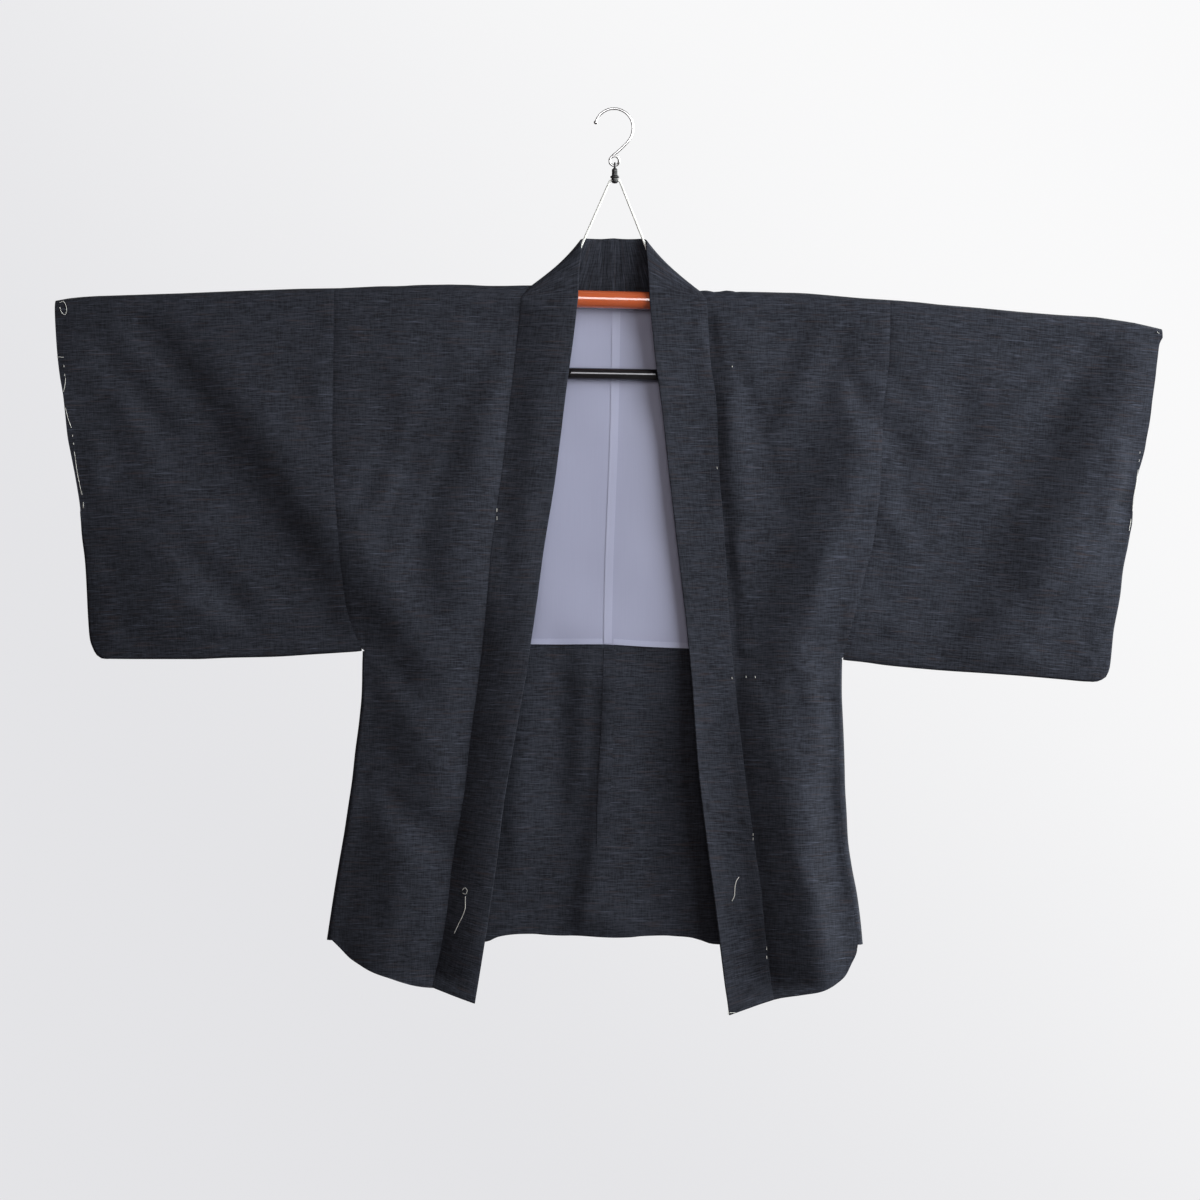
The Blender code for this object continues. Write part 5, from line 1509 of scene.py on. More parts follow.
@dataclass
class BodyLength:
    """One body length, from the back hem over the shoulder to the front hem."""

    half: Half
    cell: float = 4.5
    wall: float = 1.4
    cut: tuple[float, float] = (0.335, 1.60)
    size: tuple[float, float] = (220.0, 790.0)  # width and height that the grid of the front is laid out for
    seam_inset: float = 0.25
    centre_inset: float = 0.3
    neck_from: float = 0.55  # share of the shoulder from which it bends into the neck seam
    area_over: float = 0.009  # square metres of cloth over the shoulder

    def build(self, wardrobe: Wardrobe) -> bpy.types.Object:
        """Args:
            wardrobe: the finishes.

        Returns:
            The piece.
        """
        half = self.half
        outer = np.vstack([armhole_of(half, self.seam_inset), side_of(half)])
        collar = seam_line(half)[::-1].copy()
        collar[0, 1] = DRAPE.rest_drop(collar[0, 0])
        columns, rows = (round(length / self.cell) for length in self.size)
        shares, n_top = np.linspace(0, 1, rows + 1), columns + 1
        top = level_at(REST_LINE, outer[0, 0] + stepped(columns, collar[0, 0] - outer[0, 0], -half.sign))
        hem = row_between(half.hem, half.side[-1], collar[-1], columns, 1.0)
        hem = at_shares(hem, run_of(top) / run_of(top)[-1])
        flat = coons(top, hem, at_shares(outer, shares), at_shares(collar, shares))
        bolt = Bolt()
        front = bolt.lay(lift(flat, on_grid(DRAPE.front, flat)))

        back_flat = self.back_plane(outer, shares, n_top)
        back = bolt.lay(lift(back_flat, on_grid(DRAPE.back, back_flat)))
        places = np.concatenate(bolt.places)
        front_row, back_row = places[front[0]], places[back[0, :n_top]]
        crest = DRAPE.crest(top[:, 0])
        over = shoulder_arch(front_row, back_row, crest)
        share = np.linspace(0, 1, n_top)
        steps = np.linspace(0, 1, len(over) + 2)[1:-1]
        bend = neck_seam(half, front_row[-1], back_row[-1], steps) - over[:, -1]
        over = over + (grows(share, self.neck_from, 1) ** 1.5)[None, :, None] * bend[:, None]
        ring = np.vstack([front[:1], bolt.lay(over), back[:1, :n_top]])
        bolt.skin(front, flat)
        skin_over(bolt, ring, flat[0], crest)
        bolt.skin(back, back_flat * [1, -1] + [0, 2 * CENTRE[0, 1] - math.pi * DRAPE.shoulder_radius])
        name = f"body_{half.name}"
        piece = place(name + "_cloth", bolt.mesh(name), wardrobe.cloth, self.wall)
        return declare(piece, name)

    def back_plane(self, outer: Array, shares: Array, n_top: int) -> Array:
        """The grid of the back in the plane.

        Args:
            outer: armhole and side seam, shoulder to hem.
            shares: shares of its length at which the rows lie.
            n_top: how many of its first columns match the shoulder of the front.

        Returns:
            The grid.
        """
        half = self.half
        neck_start = half.neck[-1, [0, 2]]
        top = level_at(REST_LINE, outer[0, 0] + stepped(n_top - 1, neck_start[0] - outer[0, 0], -half.sign))
        top[-1] = neck_start
        centre = centre_of() - [half.sign * self.centre_inset, 0]
        columns = round(abs(neck_start[0]) / self.cell)
        neck = level_at(NECKLINE, np.linspace(neck_start[0], centre[0, 0], columns + 1)[1:])
        top = np.vstack([top, neck])
        hem = row_between(BACK_HEM, half.side[-1], centre[-1], 2 * FINE_ROWS)
        hem = at_shares(hem, run_of(top) / run_of(top)[-1])
        return coons(top, hem, at_shares(outer, shares), at_shares(centre, shares))


@dataclass
class BackLayer:
    """A cloth that lies on the inside of the back: lining, turned-up hem or a pressed band.

    Its places are the back's own, moved along the back's normals by `off`.
    """

    name: str
    material: bpy.types.Material
    off: float
    wall: float
    cell: float = 5.0

    def sheet(self, top: Array, bottom: Array, left: Array, right: Array) -> bpy.types.Object:
        """Fills four borders in the plane and lifts them onto the back.

        Args:
            top: from the left border to the right one.
            bottom: the same way.
            left: from the top down.
            right: the same way.

        Returns:
            The piece.
        """
        columns = max(2, round(max(run_of(top)[-1], run_of(bottom)[-1]) / self.cell))
        rows = max(2, round(max(run_of(left)[-1], run_of(right)[-1]) / self.cell))
        u, v = np.linspace(0, 1, columns + 1), np.linspace(0, 1, rows + 1)
        flat = coons(at_shares(top, u), at_shares(bottom, u), at_shares(left, v), at_shares(right, v))
        level = lift(flat, on_grid(DRAPE.back, flat))
        normal = DRAPE.back_normal(flat.reshape(-1, 2)).reshape(level.shape)
        bolt = Bolt()
        bolt.skin(bolt.lay(level + normal * self.off), flat * [1, -1])
        return place(self.name, bolt.mesh(self.name), self.material, self.wall)


@dataclass
class Inside:
    """What lies on the inside of the back: linings, turned-up hems and pressed bands."""

    lining_top: float = 8.0  # drop of the linings' top edge below the rest line
    lining_foot: float = 628.0  # drop of their hem at the centre
    turnup_top: float = 866.0  # drop of the turned-up hem's edge at the centre
    lining_off: float = 1.5
    lining_wall: float = 1.0
    turnup_off: float = 1.7
    turnup_wall: float = 1.4
    armhole_gap: float = 0.4
    centre_gap: float = 0.25
    hem_gap: float = 0.3
    pressed: float = 6.5  # height of the pressed band along the linings' hem
    fine: float = 3.0  # cell of the narrow bands

    def build(self, wardrobe: Wardrobe) -> list[bpy.types.Object]:
        """Makes and declares every layer.

        Args:
            wardrobe: the finishes.

        Returns:
            The pieces.
        """
        bands = self.bands(wardrobe)
        made = list(bands.values())
        for half in HALVES:
            made += [self.lining(half, wardrobe, bands), self.turnup(half, wardrobe)]
        return made

    def lining(self, half: Half, wardrobe: Wardrobe, bands: dict) -> bpy.types.Object:
        """Upper back lining of one half; its hem band is made among the bands."""
        armhole = armhole_of(half, -self.armhole_gap)
        centre = centre_of() - [half.sign * self.centre_gap, 0]
        starts = DRAPE.rest_drop(np.array([armhole[0, 0], 0])) + self.lining_top
        left = between(armhole, starts[0], armhole[-1, 1])
        right = between(centre, starts[1], self.lining_foot)
        top = level_at(REST_LINE, np.linspace(left[0, 0], right[0, 0], FINE_ROWS)) + [0, self.lining_top]
        borders = (top, row_between(LINING_HEM, left[-1], right[-1]), left, right)
        name = f"lining_{half.name}"
        piece = BackLayer(name + "_cloth", wardrobe.lining, self.lining_off, self.lining_wall).sheet(*borders)
        trims = tuple(band for key, band in bands.items() if key.startswith("lining") and half.name in key)
        return declare(piece, name)

    def turnup(self, half: Half, wardrobe: Wardrobe) -> bpy.types.Object:
        """Turned-up hem of one half of the back."""
        side = side_of(half) - [half.sign * self.hem_gap, 0]
        centre = centre_of() - [half.sign * self.centre_gap, 0]
        edge = float(np.interp(half.side[-3, 0], TURNUP_EDGE[:, 0], TURNUP_EDGE[:, 1]))
        left = between(side, edge, side[-1, 1] - self.hem_gap)
        right = between(centre, self.turnup_top, centre[-1, 1] - self.hem_gap)
        top = row_between(TURNUP_EDGE, left[0], right[0])
        borders = (top, row_between(BACK_HEM - [0, self.hem_gap], left[-1], right[-1]), left, right)
        name = f"hem_turnup_{half.name}"
        piece = BackLayer(name + "_cloth", wardrobe.cloth, self.turnup_off, self.turnup_wall).sheet(*borders)
        return declare(piece, name)

    def bands(self, wardrobe: Wardrobe) -> dict[str, bpy.types.Object]:
        """Pressed bands: the seam allowances at the centre and the hems of the lining.

        Args:
            wardrobe: the finishes.

        Returns:
            The pieces by name.
        """
        centre = centre_of()
        made = {}
        rows = (
            # name, slot, material, drops of its ends, edges to each side of the seam, off, wall
            ("lining_seam_band", Slot.LINING, wardrobe.lining_band, 236.0, 627.0, -1.5, 8.0, 2.35, 0.4),
            ("back_seam_allowance", Slot.CLOTH, wardrobe.cloth, 634.0, 864.0, -1.2, 13.5, 1.15, 0.6),
        )
        for name, slot, material, first, last, low, high, off, wall in rows:
            stretch = between(centre, first, last)
            left, right = stretch + [low, 0], stretch + [high, 0]
            top, bottom = (np.linspace(left[i], right[i], 5) for i in (0, -1))
            piece = BackLayer(name, material, off, wall, self.fine).sheet(top, bottom, left, right)
            made[name] = declare(piece, None)
        # the hem bands start clear of the armhole and end clear of the seam band, which lies to the right
        armhole_room, centre_room, off, wall = 1.5, {-1: 3.0, 1: 10.0}, 2.3, 0.35
        for half in HALVES:
            inner = centre + [half.sign * centre_room[half.sign], 0]
            end = [np.interp(self.lining_foot, inner[:, 1], inner[:, 0]), self.lining_foot]
            lower = row_between(LINING_HEM, armhole_of(half, -armhole_room)[-1], np.array(end))
            upper = lower - [0, self.pressed]
            left, right = (np.linspace(upper[i], lower[i], 3) for i in (0, -1))
            name = f"lining_hem_band_{half.name}"
            layer = BackLayer(name, wardrobe.lining_band, off, wall, self.fine)
            made[name] = declare(layer.sheet(upper, lower, left, right), None)
        return made


@dataclass
class Gusset:
    """The wedge between front and back below one sleeve: half ellipses that bulge outwards."""

    half: Half
    wall: float = 1.4
    overlap: float = 0.3
    rows: int = 76
    turn: int = 15  # places on each half ellipse
    full_from: float = 0.4  # share of the seam from which it bulges fully
    cut: tuple[float, float] = (0.03, 0.34)
    area: float = 0.0090

    def build(self, wardrobe: Wardrobe) -> bpy.types.Object:
        """Args:
            wardrobe: the finishes.

        Returns:
            The piece.
        """
        side = at_shares(side_of(self.half), np.linspace(0, 1, self.rows))
        front, back = lift(side, DRAPE.front(side)), lift(side, DRAPE.back(side))
        share = np.linspace(0, 1, len(side))
        low, high = self.half.gusset_bulge
        bulge = low + (high - low) * ease(share / self.full_from)
        turn = np.linspace(0, np.pi, self.turn)[:, None]
        places = (front + back) / 2 + (front - back) / 2 * np.cos(turn)[..., None]
        places[..., 0] += (np.sin(turn) * bulge - self.overlap) * self.half.sign
        round_it = turn / np.pi * (back - front)[:, 1]
        thread = np.stack([round_it, np.ones_like(turn) * side[:, 1]], axis=-1)
        bolt = Bolt()
        bolt.skin(bolt.lay(places), thread)
        name = f"gusset_{self.half.name}"
        piece = place(name + "_cloth", bolt.mesh(name), wardrobe.cloth, self.wall)
        return declare(piece, name)


@dataclass
class CollarBand:
    """The collar band from one front hem round the neck to the other, folded double."""

    wall: float = 3.0
    edge_round: float = 1.1
    cell: float = 5.0
    columns: int = 14
    fine_steps: int = 400
    neck_steps: int = 60
    neck_over: float = 2 / 3  # share of those steps that lie over the shoulder
    tuck: float = 0.6  # how far the band reaches past its seam
    thread_row: int = 60  # row at which the width of its threads is measured
    behind: tuple[float, float] = (4.0, 10.0)  # depths at which the gathers begin and are full
    gathers: tuple = ((-3.5, -2.4, 7.0), (16.0, -1.8, 8.0), (-22.0, -1.0, 7.0))  # across, depth, width
    cut: tuple[float, float] = (0.066, 2.12)

    def run(self, half: Half) -> tuple[Array, Array, int]:
        """Seam and free edge of one half in space, hem to centre back.

        Args:
            half: which half.

        Returns:
            Both lines, and how many of their rows lie on the front.
        """
        rows = np.arange(len(half.seam))
        t = np.linspace(0, rows[-1], self.fine_steps)
        run = run_of(read_rows(t, rows, half.seam))
        at = np.interp(np.linspace(0, run[-1], round(run[-1] / self.cell) + 1), run, t)
        seam, edge = read_rows(at, rows, half.seam), read_rows(at, rows, half.edge)
        seam[-1, 1] = DRAPE.rest_drop(seam[-1, 0])
        front_seam = lift(seam, DRAPE.front(seam))
        front_edge = lift(edge, DRAPE.front(edge) - self.lean(half, len(seam)))
        share = np.linspace(0, 1, self.neck_steps + 1)[1:]
        neck_end = half.neck[-1:, [0, 2]]
        over = share <= self.neck_over + 1e-9
        back_start = lift(neck_end, DRAPE.back(neck_end))[0]
        arch = neck_seam(half, front_seam[-1], back_start, share[over] / self.neck_over)
        rest = (share[~over] - self.neck_over) / (1 - self.neck_over)
        behind = level_at(NECKLINE, half.neck[-1, 0] * (1 - rest))
        turn = read_rows(share, np.linspace(0, 1, len(half.neck_edge)), half.neck_edge) * [1, 1, -1]
        seam_run = np.vstack([front_seam, arch, lift(behind, DRAPE.back(behind))])
        return seam_run, np.vstack([front_edge, turn]), len(seam)

    def lean(self, half: Half, count: int) -> Array:
        """How far the free edge stands forward of the fronts at each row, hem to neck."""
        return smooth(np.linspace(0, 2, count), np.arange(3), half.lean)

    def build(self, wardrobe: Wardrobe) -> bpy.types.Object:
        """The band is ruled from the seam to the free edge; on the fronts each place takes the depth of
        the fronts, less a lean that grows towards the free edge.

        Args:
            wardrobe: the finishes.

        Returns:
            The piece.
        """
        shares = np.linspace(0, 1, self.columns + 1)[:, None, None]
        halves = []
        for half in HALVES:
            seam, edge, fronts = self.run(half)
            ruling = edge - seam
            start = seam - ruling / np.linalg.norm(ruling, axis=1)[:, None] * self.tuck
            rows = start + (edge - start) * shares
            flat = rows[1:-1, :fronts][..., [0, 2]] * [1, -1]
            lean = self.lean(half, fronts) * half.rise(shares[1:-1, :, 0])
            rows[1:-1, :fronts, 1] = on_grid(DRAPE.front, flat) - lean
            halves.append(rows)
        left, right = halves
        whole = np.concatenate([left, right[:, -2::-1]], axis=1)
        at, deep, wide = (np.array(column)[:, None, None] for column in zip(*self.gathers))
        dents = (deep * np.exp(-(((whole[..., 0] - at) / wide) ** 2))).sum(axis=0)
        whole[..., 1] += grows(whole[..., 1], *self.behind) * dents
        length = run_of(whole[len(whole) // 2])
        width = run_of(whole[:, self.thread_row])
        thread = np.stack(np.broadcast_arrays(width[:, None], length[None]), axis=-1)
        bolt = Bolt()
        bolt.skin(bolt.lay(whole), thread)
        piece = place("collar_cloth", bolt.mesh("collar"), wardrobe.cloth)
        add_wall(piece, self.wall)
        soft = piece.modifiers.new("soft_edge", "BEVEL")
        soft.width, soft.segments = self.edge_round * MM, 3
        soft.limit_method, soft.angle_limit = "ANGLE", math.radians(60)
        bake(piece, "collar")
        piece.data.shade_smooth()
        return declare(piece, "collar")


# ---------------------------------------------------------------- basting threads


PLAN_UNIT = 1.173  # millimetres to one unit of the plan of the threads
PLAN_HOOK = np.array([614, 109])  # the seat of the hook on that plan


@dataclass
class BastingThreads:
    """White basting threads on the cuffs, collar seams and fronts: short round bars along lines."""

    radius: float = 0.3
    sides: int = 8
    step: float = 1.5
    off: float = 0.95  # how far they lie before the middle of a single cloth
    off_seam: float = 2.0  # the same on the collar's seam
    off_collar: float = 2.1  # and on its double wall
    seam_width: float = 0.5
    cuff_left: tuple = (
        ((60, 303), (63, 301.5), (66, 305), (67, 311), (65, 315), (61.5, 312), (60, 307)),
        ((57, 357), (64, 357.5)), ((64, 365), (64.3, 367)), ((65, 374), (65.2, 376)),
        ((66, 378), (65.5, 384), (64, 392)), ((66, 408), (68.5, 418), (72, 428)), ((73, 435), (73.3, 437)),
        ((74, 443), (74.3, 445)), ((75, 452), (78, 474), (82, 495)), ((83, 502), (82.8, 508)),
    )
    cuff_right: tuple = (
        ((1157, 332), (1159, 333.5)), ((1138.6, 452), (1138.4, 454)), ((1138, 460), (1137.8, 462)),
        ((1137, 470), (1135, 490), (1133, 510)), ((1131.5, 519), (1130.5, 526), (1129.5, 531)),
    )
    collar_left: tuple = (
        ((497, 508.5), (497, 512)), ((497, 516.5), (497, 520)),
        ((463, 889), (465.5, 886.5), (468, 889.5), (466, 893), (463.5, 892)),
        ((466, 895), (466, 905), (463, 915), (458.5, 924), (455, 932)),
    )
    collar_right: tuple = (
        ((739, 877), (736.5, 881), (735, 887), (734.5, 895), (732, 901)),
        ((753, 833), (753, 835.5)), ((753, 837.5), (753, 840)), ((766.5, 946.5), (766.5, 949.5)),
        ((766.5, 955.5), (766.5, 958.5)), ((717, 467), (717.3, 469)), ((732, 677), (732.2, 679)),
        ((746, 676), (746.2, 678)), ((755, 676), (755.2, 678)), ((732, 366), (732.2, 367.4)),
        ((727, 1010.5), (731, 1010), (735.5, 1010.5)), ((727.5, 1008), (727.2, 1012.5)),
    )

    def build(self, wardrobe: Wardrobe) -> list[bpy.types.Object]:
        """Makes one piece for each group of threads."""
        made = []
        for name in ("cuff_left", "cuff_right", "collar_left", "collar_right"):
            bolt = Bolt()
            for stitch in getattr(self, name):
                line = (np.array(stitch) - PLAN_HOOK) * PLAN_UNIT
                fine = curve(line, max(2, round(run_of(line)[-1] / self.step)))
                level = lift(fine, DRAPE.front(fine) - self.off_at(name, fine))
                add_sweep(bolt, level, self.radius, self.sides)
            made.append(solid(bolt, f"basting_{name}", wardrobe.thread, None))
        return made

    def off_at(self, name: str, points: Array) -> Array:
        """How far the threads lie before the middle of the cloth.

        Args:
            name: the group of threads.
            points: (across, drop), one row each.

        Returns:
            One distance for each place: that of the collar, of its seam or of the cloth beside it.
        """
        if not name.startswith("collar"):
            return np.full(len(points), self.off)
        half = LEFT if name.endswith("left") else RIGHT
        share, side = along(points, seam_line(half))
        inward = side * half.sign
        lean = smooth(share * 2, np.arange(3), half.lean) * half.rise(np.clip(inward / half.band, 0, 1))
        beside = np.where(inward > 0, self.off_collar + lean, self.off)
        return np.where(np.abs(inward) < self.seam_width, self.off_seam, beside)


# ---------------------------------------------------------------- the hanger


@dataclass
class Hanger:
    """Telescoping kimono hanger: hook, swivel, cord, lacquered tube and lower bar."""

    wire: float = 1.5  # radius of the hook's wire
    hook_radius: float = 22.3
    hook_turn: tuple[float, float] = (164.0, 0.0)  # degrees, from the tip over the rail to the shank
    eye_turn: tuple[float, float] = (168.0, 500.0)  # degrees, most of the way round the eye
    eye_pass: float = 3.4  # how far the eye's end lies before its start
    eye_radius: float = 5.5
    eye_centre: tuple[float, float] = (0.5, 60.0)
    swivel_across: float = 1.0
    cord_hole: float = 82.5  # drop of the hole in the swivel that the cord runs through
    cord_radius: float = 1.35
    tube_radius: float = 10.5
    tube_end_radius: float = 9.5
    tube_bends: tuple = ((-608.0, 231.6), (-216.0, 217.8), (218.0, 228.7), (567.0, 257.6))  # across, drop
    bar_radius: float = 7.0
    feet: tuple[float, float] = (-65.8, 63.0)  # where the cord's legs reach the tube
    knot_up: float = 15.8  # how far up its leg each knot sits
    knot_radius: float = 2.8
    bar_ends: tuple = ((-165.0, 307.6), (160.0, 313.8))
    tip_radius: float = 2.3
    ring_radius: float = 3.0
    ring_wire: float = 1.1

    def build(self, wardrobe: Wardrobe) -> list[bpy.types.Object]:
        """Makes and declares the hook, swivel, cord, tube and bar, and gives the two carriers' solids their
        finish.

        Args:
            wardrobe: the finishes.

        Returns:
            The pieces.
        """
        carriers = []
        for name in ("hanger_carrier_left", "hanger_carrier_right"):
            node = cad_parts[name]
            carrier = node if isinstance(node, bpy.types.Object) else bpy.data.objects[name]
            carrier.data.materials.clear()
            carrier.data.materials.append(wardrobe.plastic)
            carriers.append(carrier)
        makers = (self.hook, self.swivel, self.cord, self.tube, self.bar)
        return [make(wardrobe) for make in makers] + carriers

    def hook(self, wardrobe: Wardrobe) -> bpy.types.Object:
        """Steel hook: arc over the rail, shank, and an eye wound from the same wire."""
        turn = np.radians(np.linspace(*self.hook_turn, 50))
        reach, rise = self.hook_radius * np.cos(turn), self.hook_radius * np.sin(turn)
        arc = np.stack([reach, 0 * turn, rise - (self.hook_radius - self.wire)], axis=1)
        shank = table((20.9, 0, -29.5), (17, 0, -36.5), (11, 0, -43), (4.5, 0, -49), (-1.5, 0, -54))
        wind = np.radians(np.linspace(*self.eye_turn, 44))
        pass_by = -self.eye_pass * grows(np.linspace(0, 14, len(wind)), 5, 12)
        reach, rise = self.eye_radius * np.cos(wind), self.eye_radius * np.sin(wind)
        eye = np.stack([self.eye_centre[0] + reach, pass_by, rise - self.eye_centre[1]], axis=1)
        path = curve(np.vstack([arc[:-2:4], arc[-1:], shank, eye[::4]]), 170)
        bolt = Bolt()
        add_sweep(bolt, path, self.wire, 20)
        add_ball(bolt, path[0], self.tip_radius)
        return solid(bolt, "hook_wire", wardrobe.steel, "hanger_hook")

    def swivel(self, wardrobe: Wardrobe) -> bpy.types.Object:
        """Swivel: a ring through the eye and a dark turned body that holds the cord."""
        bottom = -(self.eye_centre[1] + self.eye_radius)
        rows = table(  # radius and height of the turned body, from its top
            (0.9, -2.3), (1.6, -2.4), (2.2, -3.4), (3.2, -4.3), (3.45, -4.9), (3.5, -7.8), (3.3, -8.1),
            (3.3, -8.6), (3.5, -8.9), (3.5, -11.4), (5, -12.4), (5.4, -12.8), (5.4, -13.8), (5, -14.3),
            (3.9, -14.8), (4, -18.6), (3.6, -19.6), (2.6, -20.6), (1, -20.9)
        )
        path = np.stack([np.full(len(rows), self.swivel_across), 0 * rows[:, 0], bottom + rows[:, 1]], axis=1)
        bolt = Bolt()
        add_sweep(bolt, path, rows[:, 0], 32)
        a = np.linspace(0, 2 * np.pi, 41)[:, None]
        b = np.linspace(0, 2 * np.pi, 17)[None]
        reach = self.ring_radius + self.ring_wire * np.cos(b)
        across = self.swivel_across + self.ring_wire * np.sin(b) + 0 * a
        ring = np.stack([across, reach * np.cos(a), bottom + reach * np.sin(a)], axis=-1)
        thread = np.stack(np.broadcast_arrays(b * self.ring_wire, a * self.ring_radius), axis=-1)
        bolt.skin(bolt.lay(ring), thread)
        return solid(bolt, "swivel_body", wardrobe.plastic, "hanger_swivel")

    def cord_path(self) -> tuple[Array, Array]:
        """The cord's route from knot to knot, and the two knots.

        Returns:
            The places on the route, and the two knots' centres.
        """
        feet = np.array([[x, 0, -np.interp(x, *np.transpose(self.tube_bends))] for x in self.feet])
        top = np.array([self.swivel_across, 0, -self.cord_hole])
        bend = table((4.2, 0, -0.15), (5.4, 0, -0.9), (6.4, 0, -2.6))
        turns = top + np.vstack([bend[::-1] * [-1, 1, 1], bend])
        ways = [(f - t) / np.linalg.norm(f - t) for f, t in zip(feet, (turns[0], turns[-1]))]
        knots = np.array([f + w * self.knot_up for f, w in zip(feet, ways)])
        left, right = (np.linspace(k, t, 40, endpoint=False) for k, t in zip(knots, (turns[0], turns[-1])))
        return np.vstack([left, turns, right[::-1]]), knots

    def cord(self, wardrobe: Wardrobe) -> bpy.types.Object:
        """White braided cord in a V, with a knot under the tube at each end."""
        path, knots = self.cord_path()
        bolt = Bolt()
        add_sweep(bolt, path, self.cord_radius, 14)
        for knot in knots:
            add_ball(bolt, knot, self.knot_radius)
        return solid(bolt, "cord_braided", wardrobe.cord, "hanger_cord")

    def tube(self, wardrobe: Wardrobe) -> bpy.types.Object:
        """The upper tube: a thicker middle run, and an arm that slides out of each end."""
        bends = np.array(self.tube_bends)
        ends = bends[0] + [9, -0.3], bends[-1] - [9, 0.7]
        low, high = bends[1], bends[2]
        left_way = (low - ends[0]) / np.linalg.norm(low - ends[0])
        right_way = (ends[1] - high) / np.linalg.norm(ends[1] - high)
        big, small = self.tube_radius, self.tube_end_radius
        # distance and radius: the rounded tip of an arm, then the step up to the middle run
        tip = ((0, small - 1.6), (0.6, small - 0.7), (1.6, small))
        step = ((7, small), (6, small), (5.6, big - 0.4), (5, big), (1, big))
        left = [(ends[0] + left_way * d, r) for d, r in tip] + [(low - left_way * d, r) for d, r in step]
        right = [(ends[1] - right_way * d, r) for d, r in tip] + [(high + right_way * d, r) for d, r in step]
        near, far = np.array([1.2, 0.03]), np.array([8, 0.2])
        run = [(at, big) for at in (low + near, low + far, (low + high) / 2, high - far, high - near)]
        rows = left + run + right[::-1]
        path = np.array([(p[0], 0, -p[1]) for p, _ in rows])
        bolt = Bolt()
        add_sweep(bolt, path, np.array([r for _, r in rows]), 48)
        return solid(bolt, "hanger_tube_lacquered", wardrobe.tube, "hanger_tube")

    def bar(self, wardrobe: Wardrobe) -> bpy.types.Object:
        """The black lower bar, with rounded ends."""
        start, end = (np.array([x, 0, -d]) for x, d in self.bar_ends)
        way = (end - start) / np.linalg.norm(end - start)
        inset = table((0.0, 1.6), (0.4, 0.7), (1.2, 0.0))
        path = np.vstack([start + way * inset[:, :1], end - way * inset[::-1, :1]])
        radii = self.bar_radius - np.concatenate([inset[:, 1], inset[::-1, 1]])
        bolt = Bolt()
        add_sweep(bolt, path, radii, 40)
        return solid(bolt, "hanger_bar_lacquered", wardrobe.bar, "hanger_bar")


# ---------------------------------------------------------------- studio


@dataclass(frozen=True)
class SoftBox:
    """A soft light: a panel that doesn't show itself."""

    name: str
    at: tuple[float, float, float]
    aim: tuple[float, float, float]
    size: tuple[float, float]
    power: float
    colour: tuple[float, float, float] = (1.0, 1.0, 1.0)
    shading: bool = True
    shine: bool = True

    def build(self) -> bpy.types.Object:
        """Makes the light, turns it to its aim and says whether it shades, shines or both."""
        data = bpy.data.lights.new(self.name, "AREA")
        data.shape = "RECTANGLE"
        data.size, data.size_y = self.size
        data.energy, data.color = self.power, self.colour
        lamp = bpy.data.objects.new(self.name, data)
        bpy.context.scene.collection.objects.link(lamp)
        lamp.location = self.at
        lamp.rotation_euler = (Vector(self.aim) - Vector(self.at)).to_track_quat("-Z", "Y").to_euler()
        lamp.visible_camera = False
        lamp.visible_diffuse, lamp.visible_glossy = self.shading, self.shine
        return lamp


@dataclass(frozen=True)
class PaintedWallLight:
    """Pale wall whose glow is painted light, standing in for the lamps' light on it: brighter to the right
    and high up.
    """

    # painted light: the glow where the wall is dimmest, to the left and low down, and where it is brightest,
    # to the right and high up
    low: tuple = (0.770, 0.770, 0.792)
    high: tuple = (0.945, 0.945, 0.950)
    dark: tuple = (0.02, 0.02, 0.02)  # the paint itself, so that the lamps add next to nothing to its glow
    less_dark: tuple = (0.03, 0.03, 0.03)

    def material(self) -> bpy.types.Material:
        """Painted light: a slope of glow across and up the room, with broad clouds."""
        r = Recipe("wall_paint")
        spot = r.inside_piece()
        cloud = r.noise(spot, 0.5, 2.0, 0.5)
        slope = r.part(spot, "X") * 0.24 + r.part(spot, "Z") * 0.20 + 0.50 + cloud * 0.1
        glow = r.mix(slope.step(0.0, 1.0), self.low, self.high)
        r.tree.links.new(glow.output, r.shader.inputs["Emission Color"])
        paint = r.mix(cloud, self.dark, self.less_dark)
        return r.finish(paint, 1.0, Specular_IOR_Level=0.0, Emission_Strength=1.0)


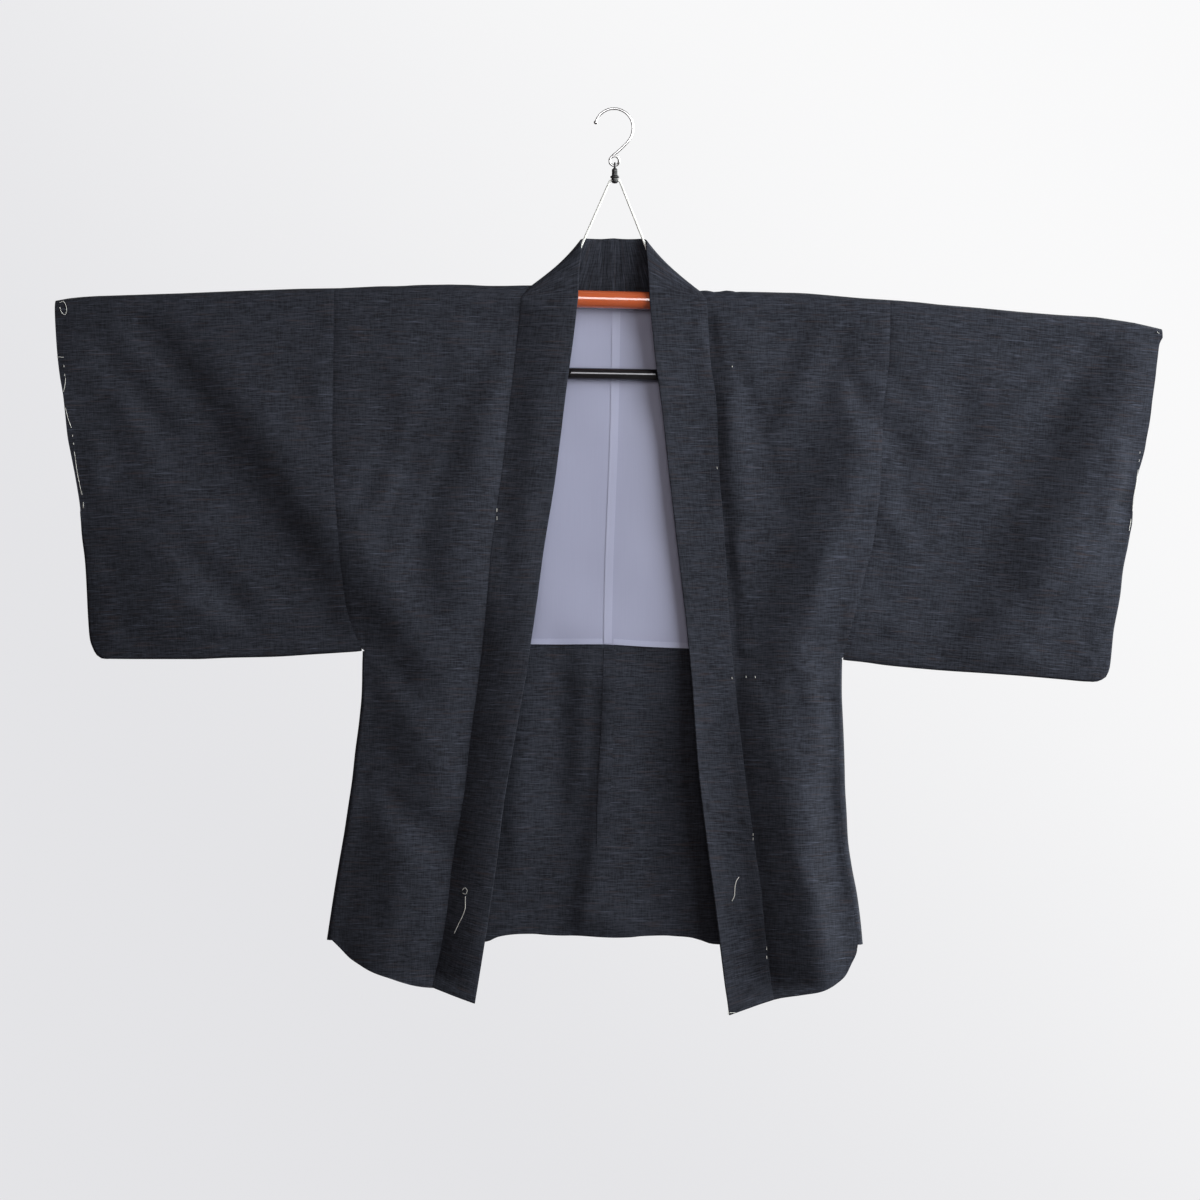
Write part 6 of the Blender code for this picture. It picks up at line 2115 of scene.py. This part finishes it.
@dataclass
class Studio:
    """Pale round room, soft lights and the camera."""

    centre: tuple[float, float, float] = (-0.0164, 0.0, -0.576)
    view_width: float = 1.4104  # metres seen from side to side at the hook
    sensor: float = 36.0
    distance: float = 4.8
    floor: float = -2.35
    radius: float = 7.5
    cove: float = 1.6
    height: float = 7.0
    ambient: tuple[float, float, float] = (1.0, 0.91, 0.90)  # colour of the light from all round
    ambient_strength: float = 0.105
    lights: tuple[SoftBox, ...] = (
        SoftBox("key", (1.8, -1.15, 0.05), (0, 0, -0.65), (2.4, 2.4), 104.0, (0.945, 1.0, 0.985)),
        SoftBox("window", (-0.05, -2.6, 0.26), (0, 0, -0.35), (0.8, 1.3), 11.5, (1, 0.95, 0.94), shine=False),
        SoftBox("strip", (0, -2.6, 0.28), (0, 0, -0.25), (1.4, 1.1), 40.0, (0.96, 0.96, 1), shading=False),
        SoftBox("rear", (1.75, 1.5, 0.15), (0, 0, -0.6), (2.0, 2.0), 95.0, (0.97, 1.0, 1.0)),
    )

    def camera(self) -> bpy.types.Object:
        """The camera, square to the garment."""
        data = bpy.data.cameras.new("camera")
        data.sensor_width = self.sensor
        data.lens = self.sensor * self.distance / self.view_width
        camera = bpy.data.objects.new("camera", data)
        bpy.context.scene.collection.objects.link(camera)
        camera.location = (self.centre[0], -self.distance, self.centre[2])
        camera.rotation_euler = (math.pi / 2, 0, 0)
        bpy.context.scene.camera = camera
        return camera

    def backdrop(self) -> bpy.types.Object:
        """Floor, wall and ceiling in one round sheet.

        It is a profile with quarter-circle coves, turned about Z.

        Returns:
            The sheet.
        """
        bend = np.linspace(0, np.pi / 2, 16)
        inner = self.radius - self.cove
        reach = self.cove * np.sin(bend), self.cove * np.cos(bend)
        out = np.concatenate([[0.0], inner + reach[0], inner + reach[1], [0.0]])
        rise = self.cove * (1 - np.cos(bend))
        up = np.concatenate([[0.0], rise, self.height - self.cove + self.cove * np.sin(bend), [self.height]])
        turn = np.linspace(0, 2 * np.pi, 97)
        level = up[:, None] + 0 * turn + self.floor
        grid = np.stack([out[:, None] * np.cos(turn), out[:, None] * np.sin(turn), level], axis=-1)
        bolt = Bolt()
        bolt.skin(bolt.lay(grid / MM), grid[..., :2] / MM)
        sheet = place("backdrop", bolt.mesh("backdrop"), PaintedWallLight().material())
        sheet.visible_diffuse = sheet.visible_glossy = sheet.visible_shadow = False
        return sheet

    def build(self) -> None:
        """Sets the world, the lights, the backdrop and the camera."""
        scene = bpy.context.scene
        world = bpy.data.worlds.new("soft_room")
        world.use_nodes = True
        sky = world.node_tree.nodes["Background"]
        sky.inputs[0].default_value = (*self.ambient, 1.0)
        sky.inputs[1].default_value = self.ambient_strength
        scene.world = world
        scene.view_settings.view_transform = "Standard"
        self.camera()
        self.backdrop()
        for light in self.lights:
            light.build()


# ---------------------------------------------------------------- the whole


def main() -> None:
    """Builds the studio, the hanger and the garment."""
    logging.basicConfig(level=logging.INFO, format="%(name)s: %(message)s")
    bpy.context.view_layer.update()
    Studio().build()
    wardrobe = Wardrobe()
    made = list(Hanger().build(wardrobe))
    for half in HALVES:
        made += [Sleeve(half).build(wardrobe), BodyLength(half).build(wardrobe), Gusset(half).build(wardrobe)]
    made.append(CollarBand().build(wardrobe))
    made += Inside().build(wardrobe)
    made += BastingThreads().build(wardrobe)
    for piece in made:
        log.info("%s: %d faces", piece.name, len(piece.data.polygons))


if __name__ == "__main__":
    main()
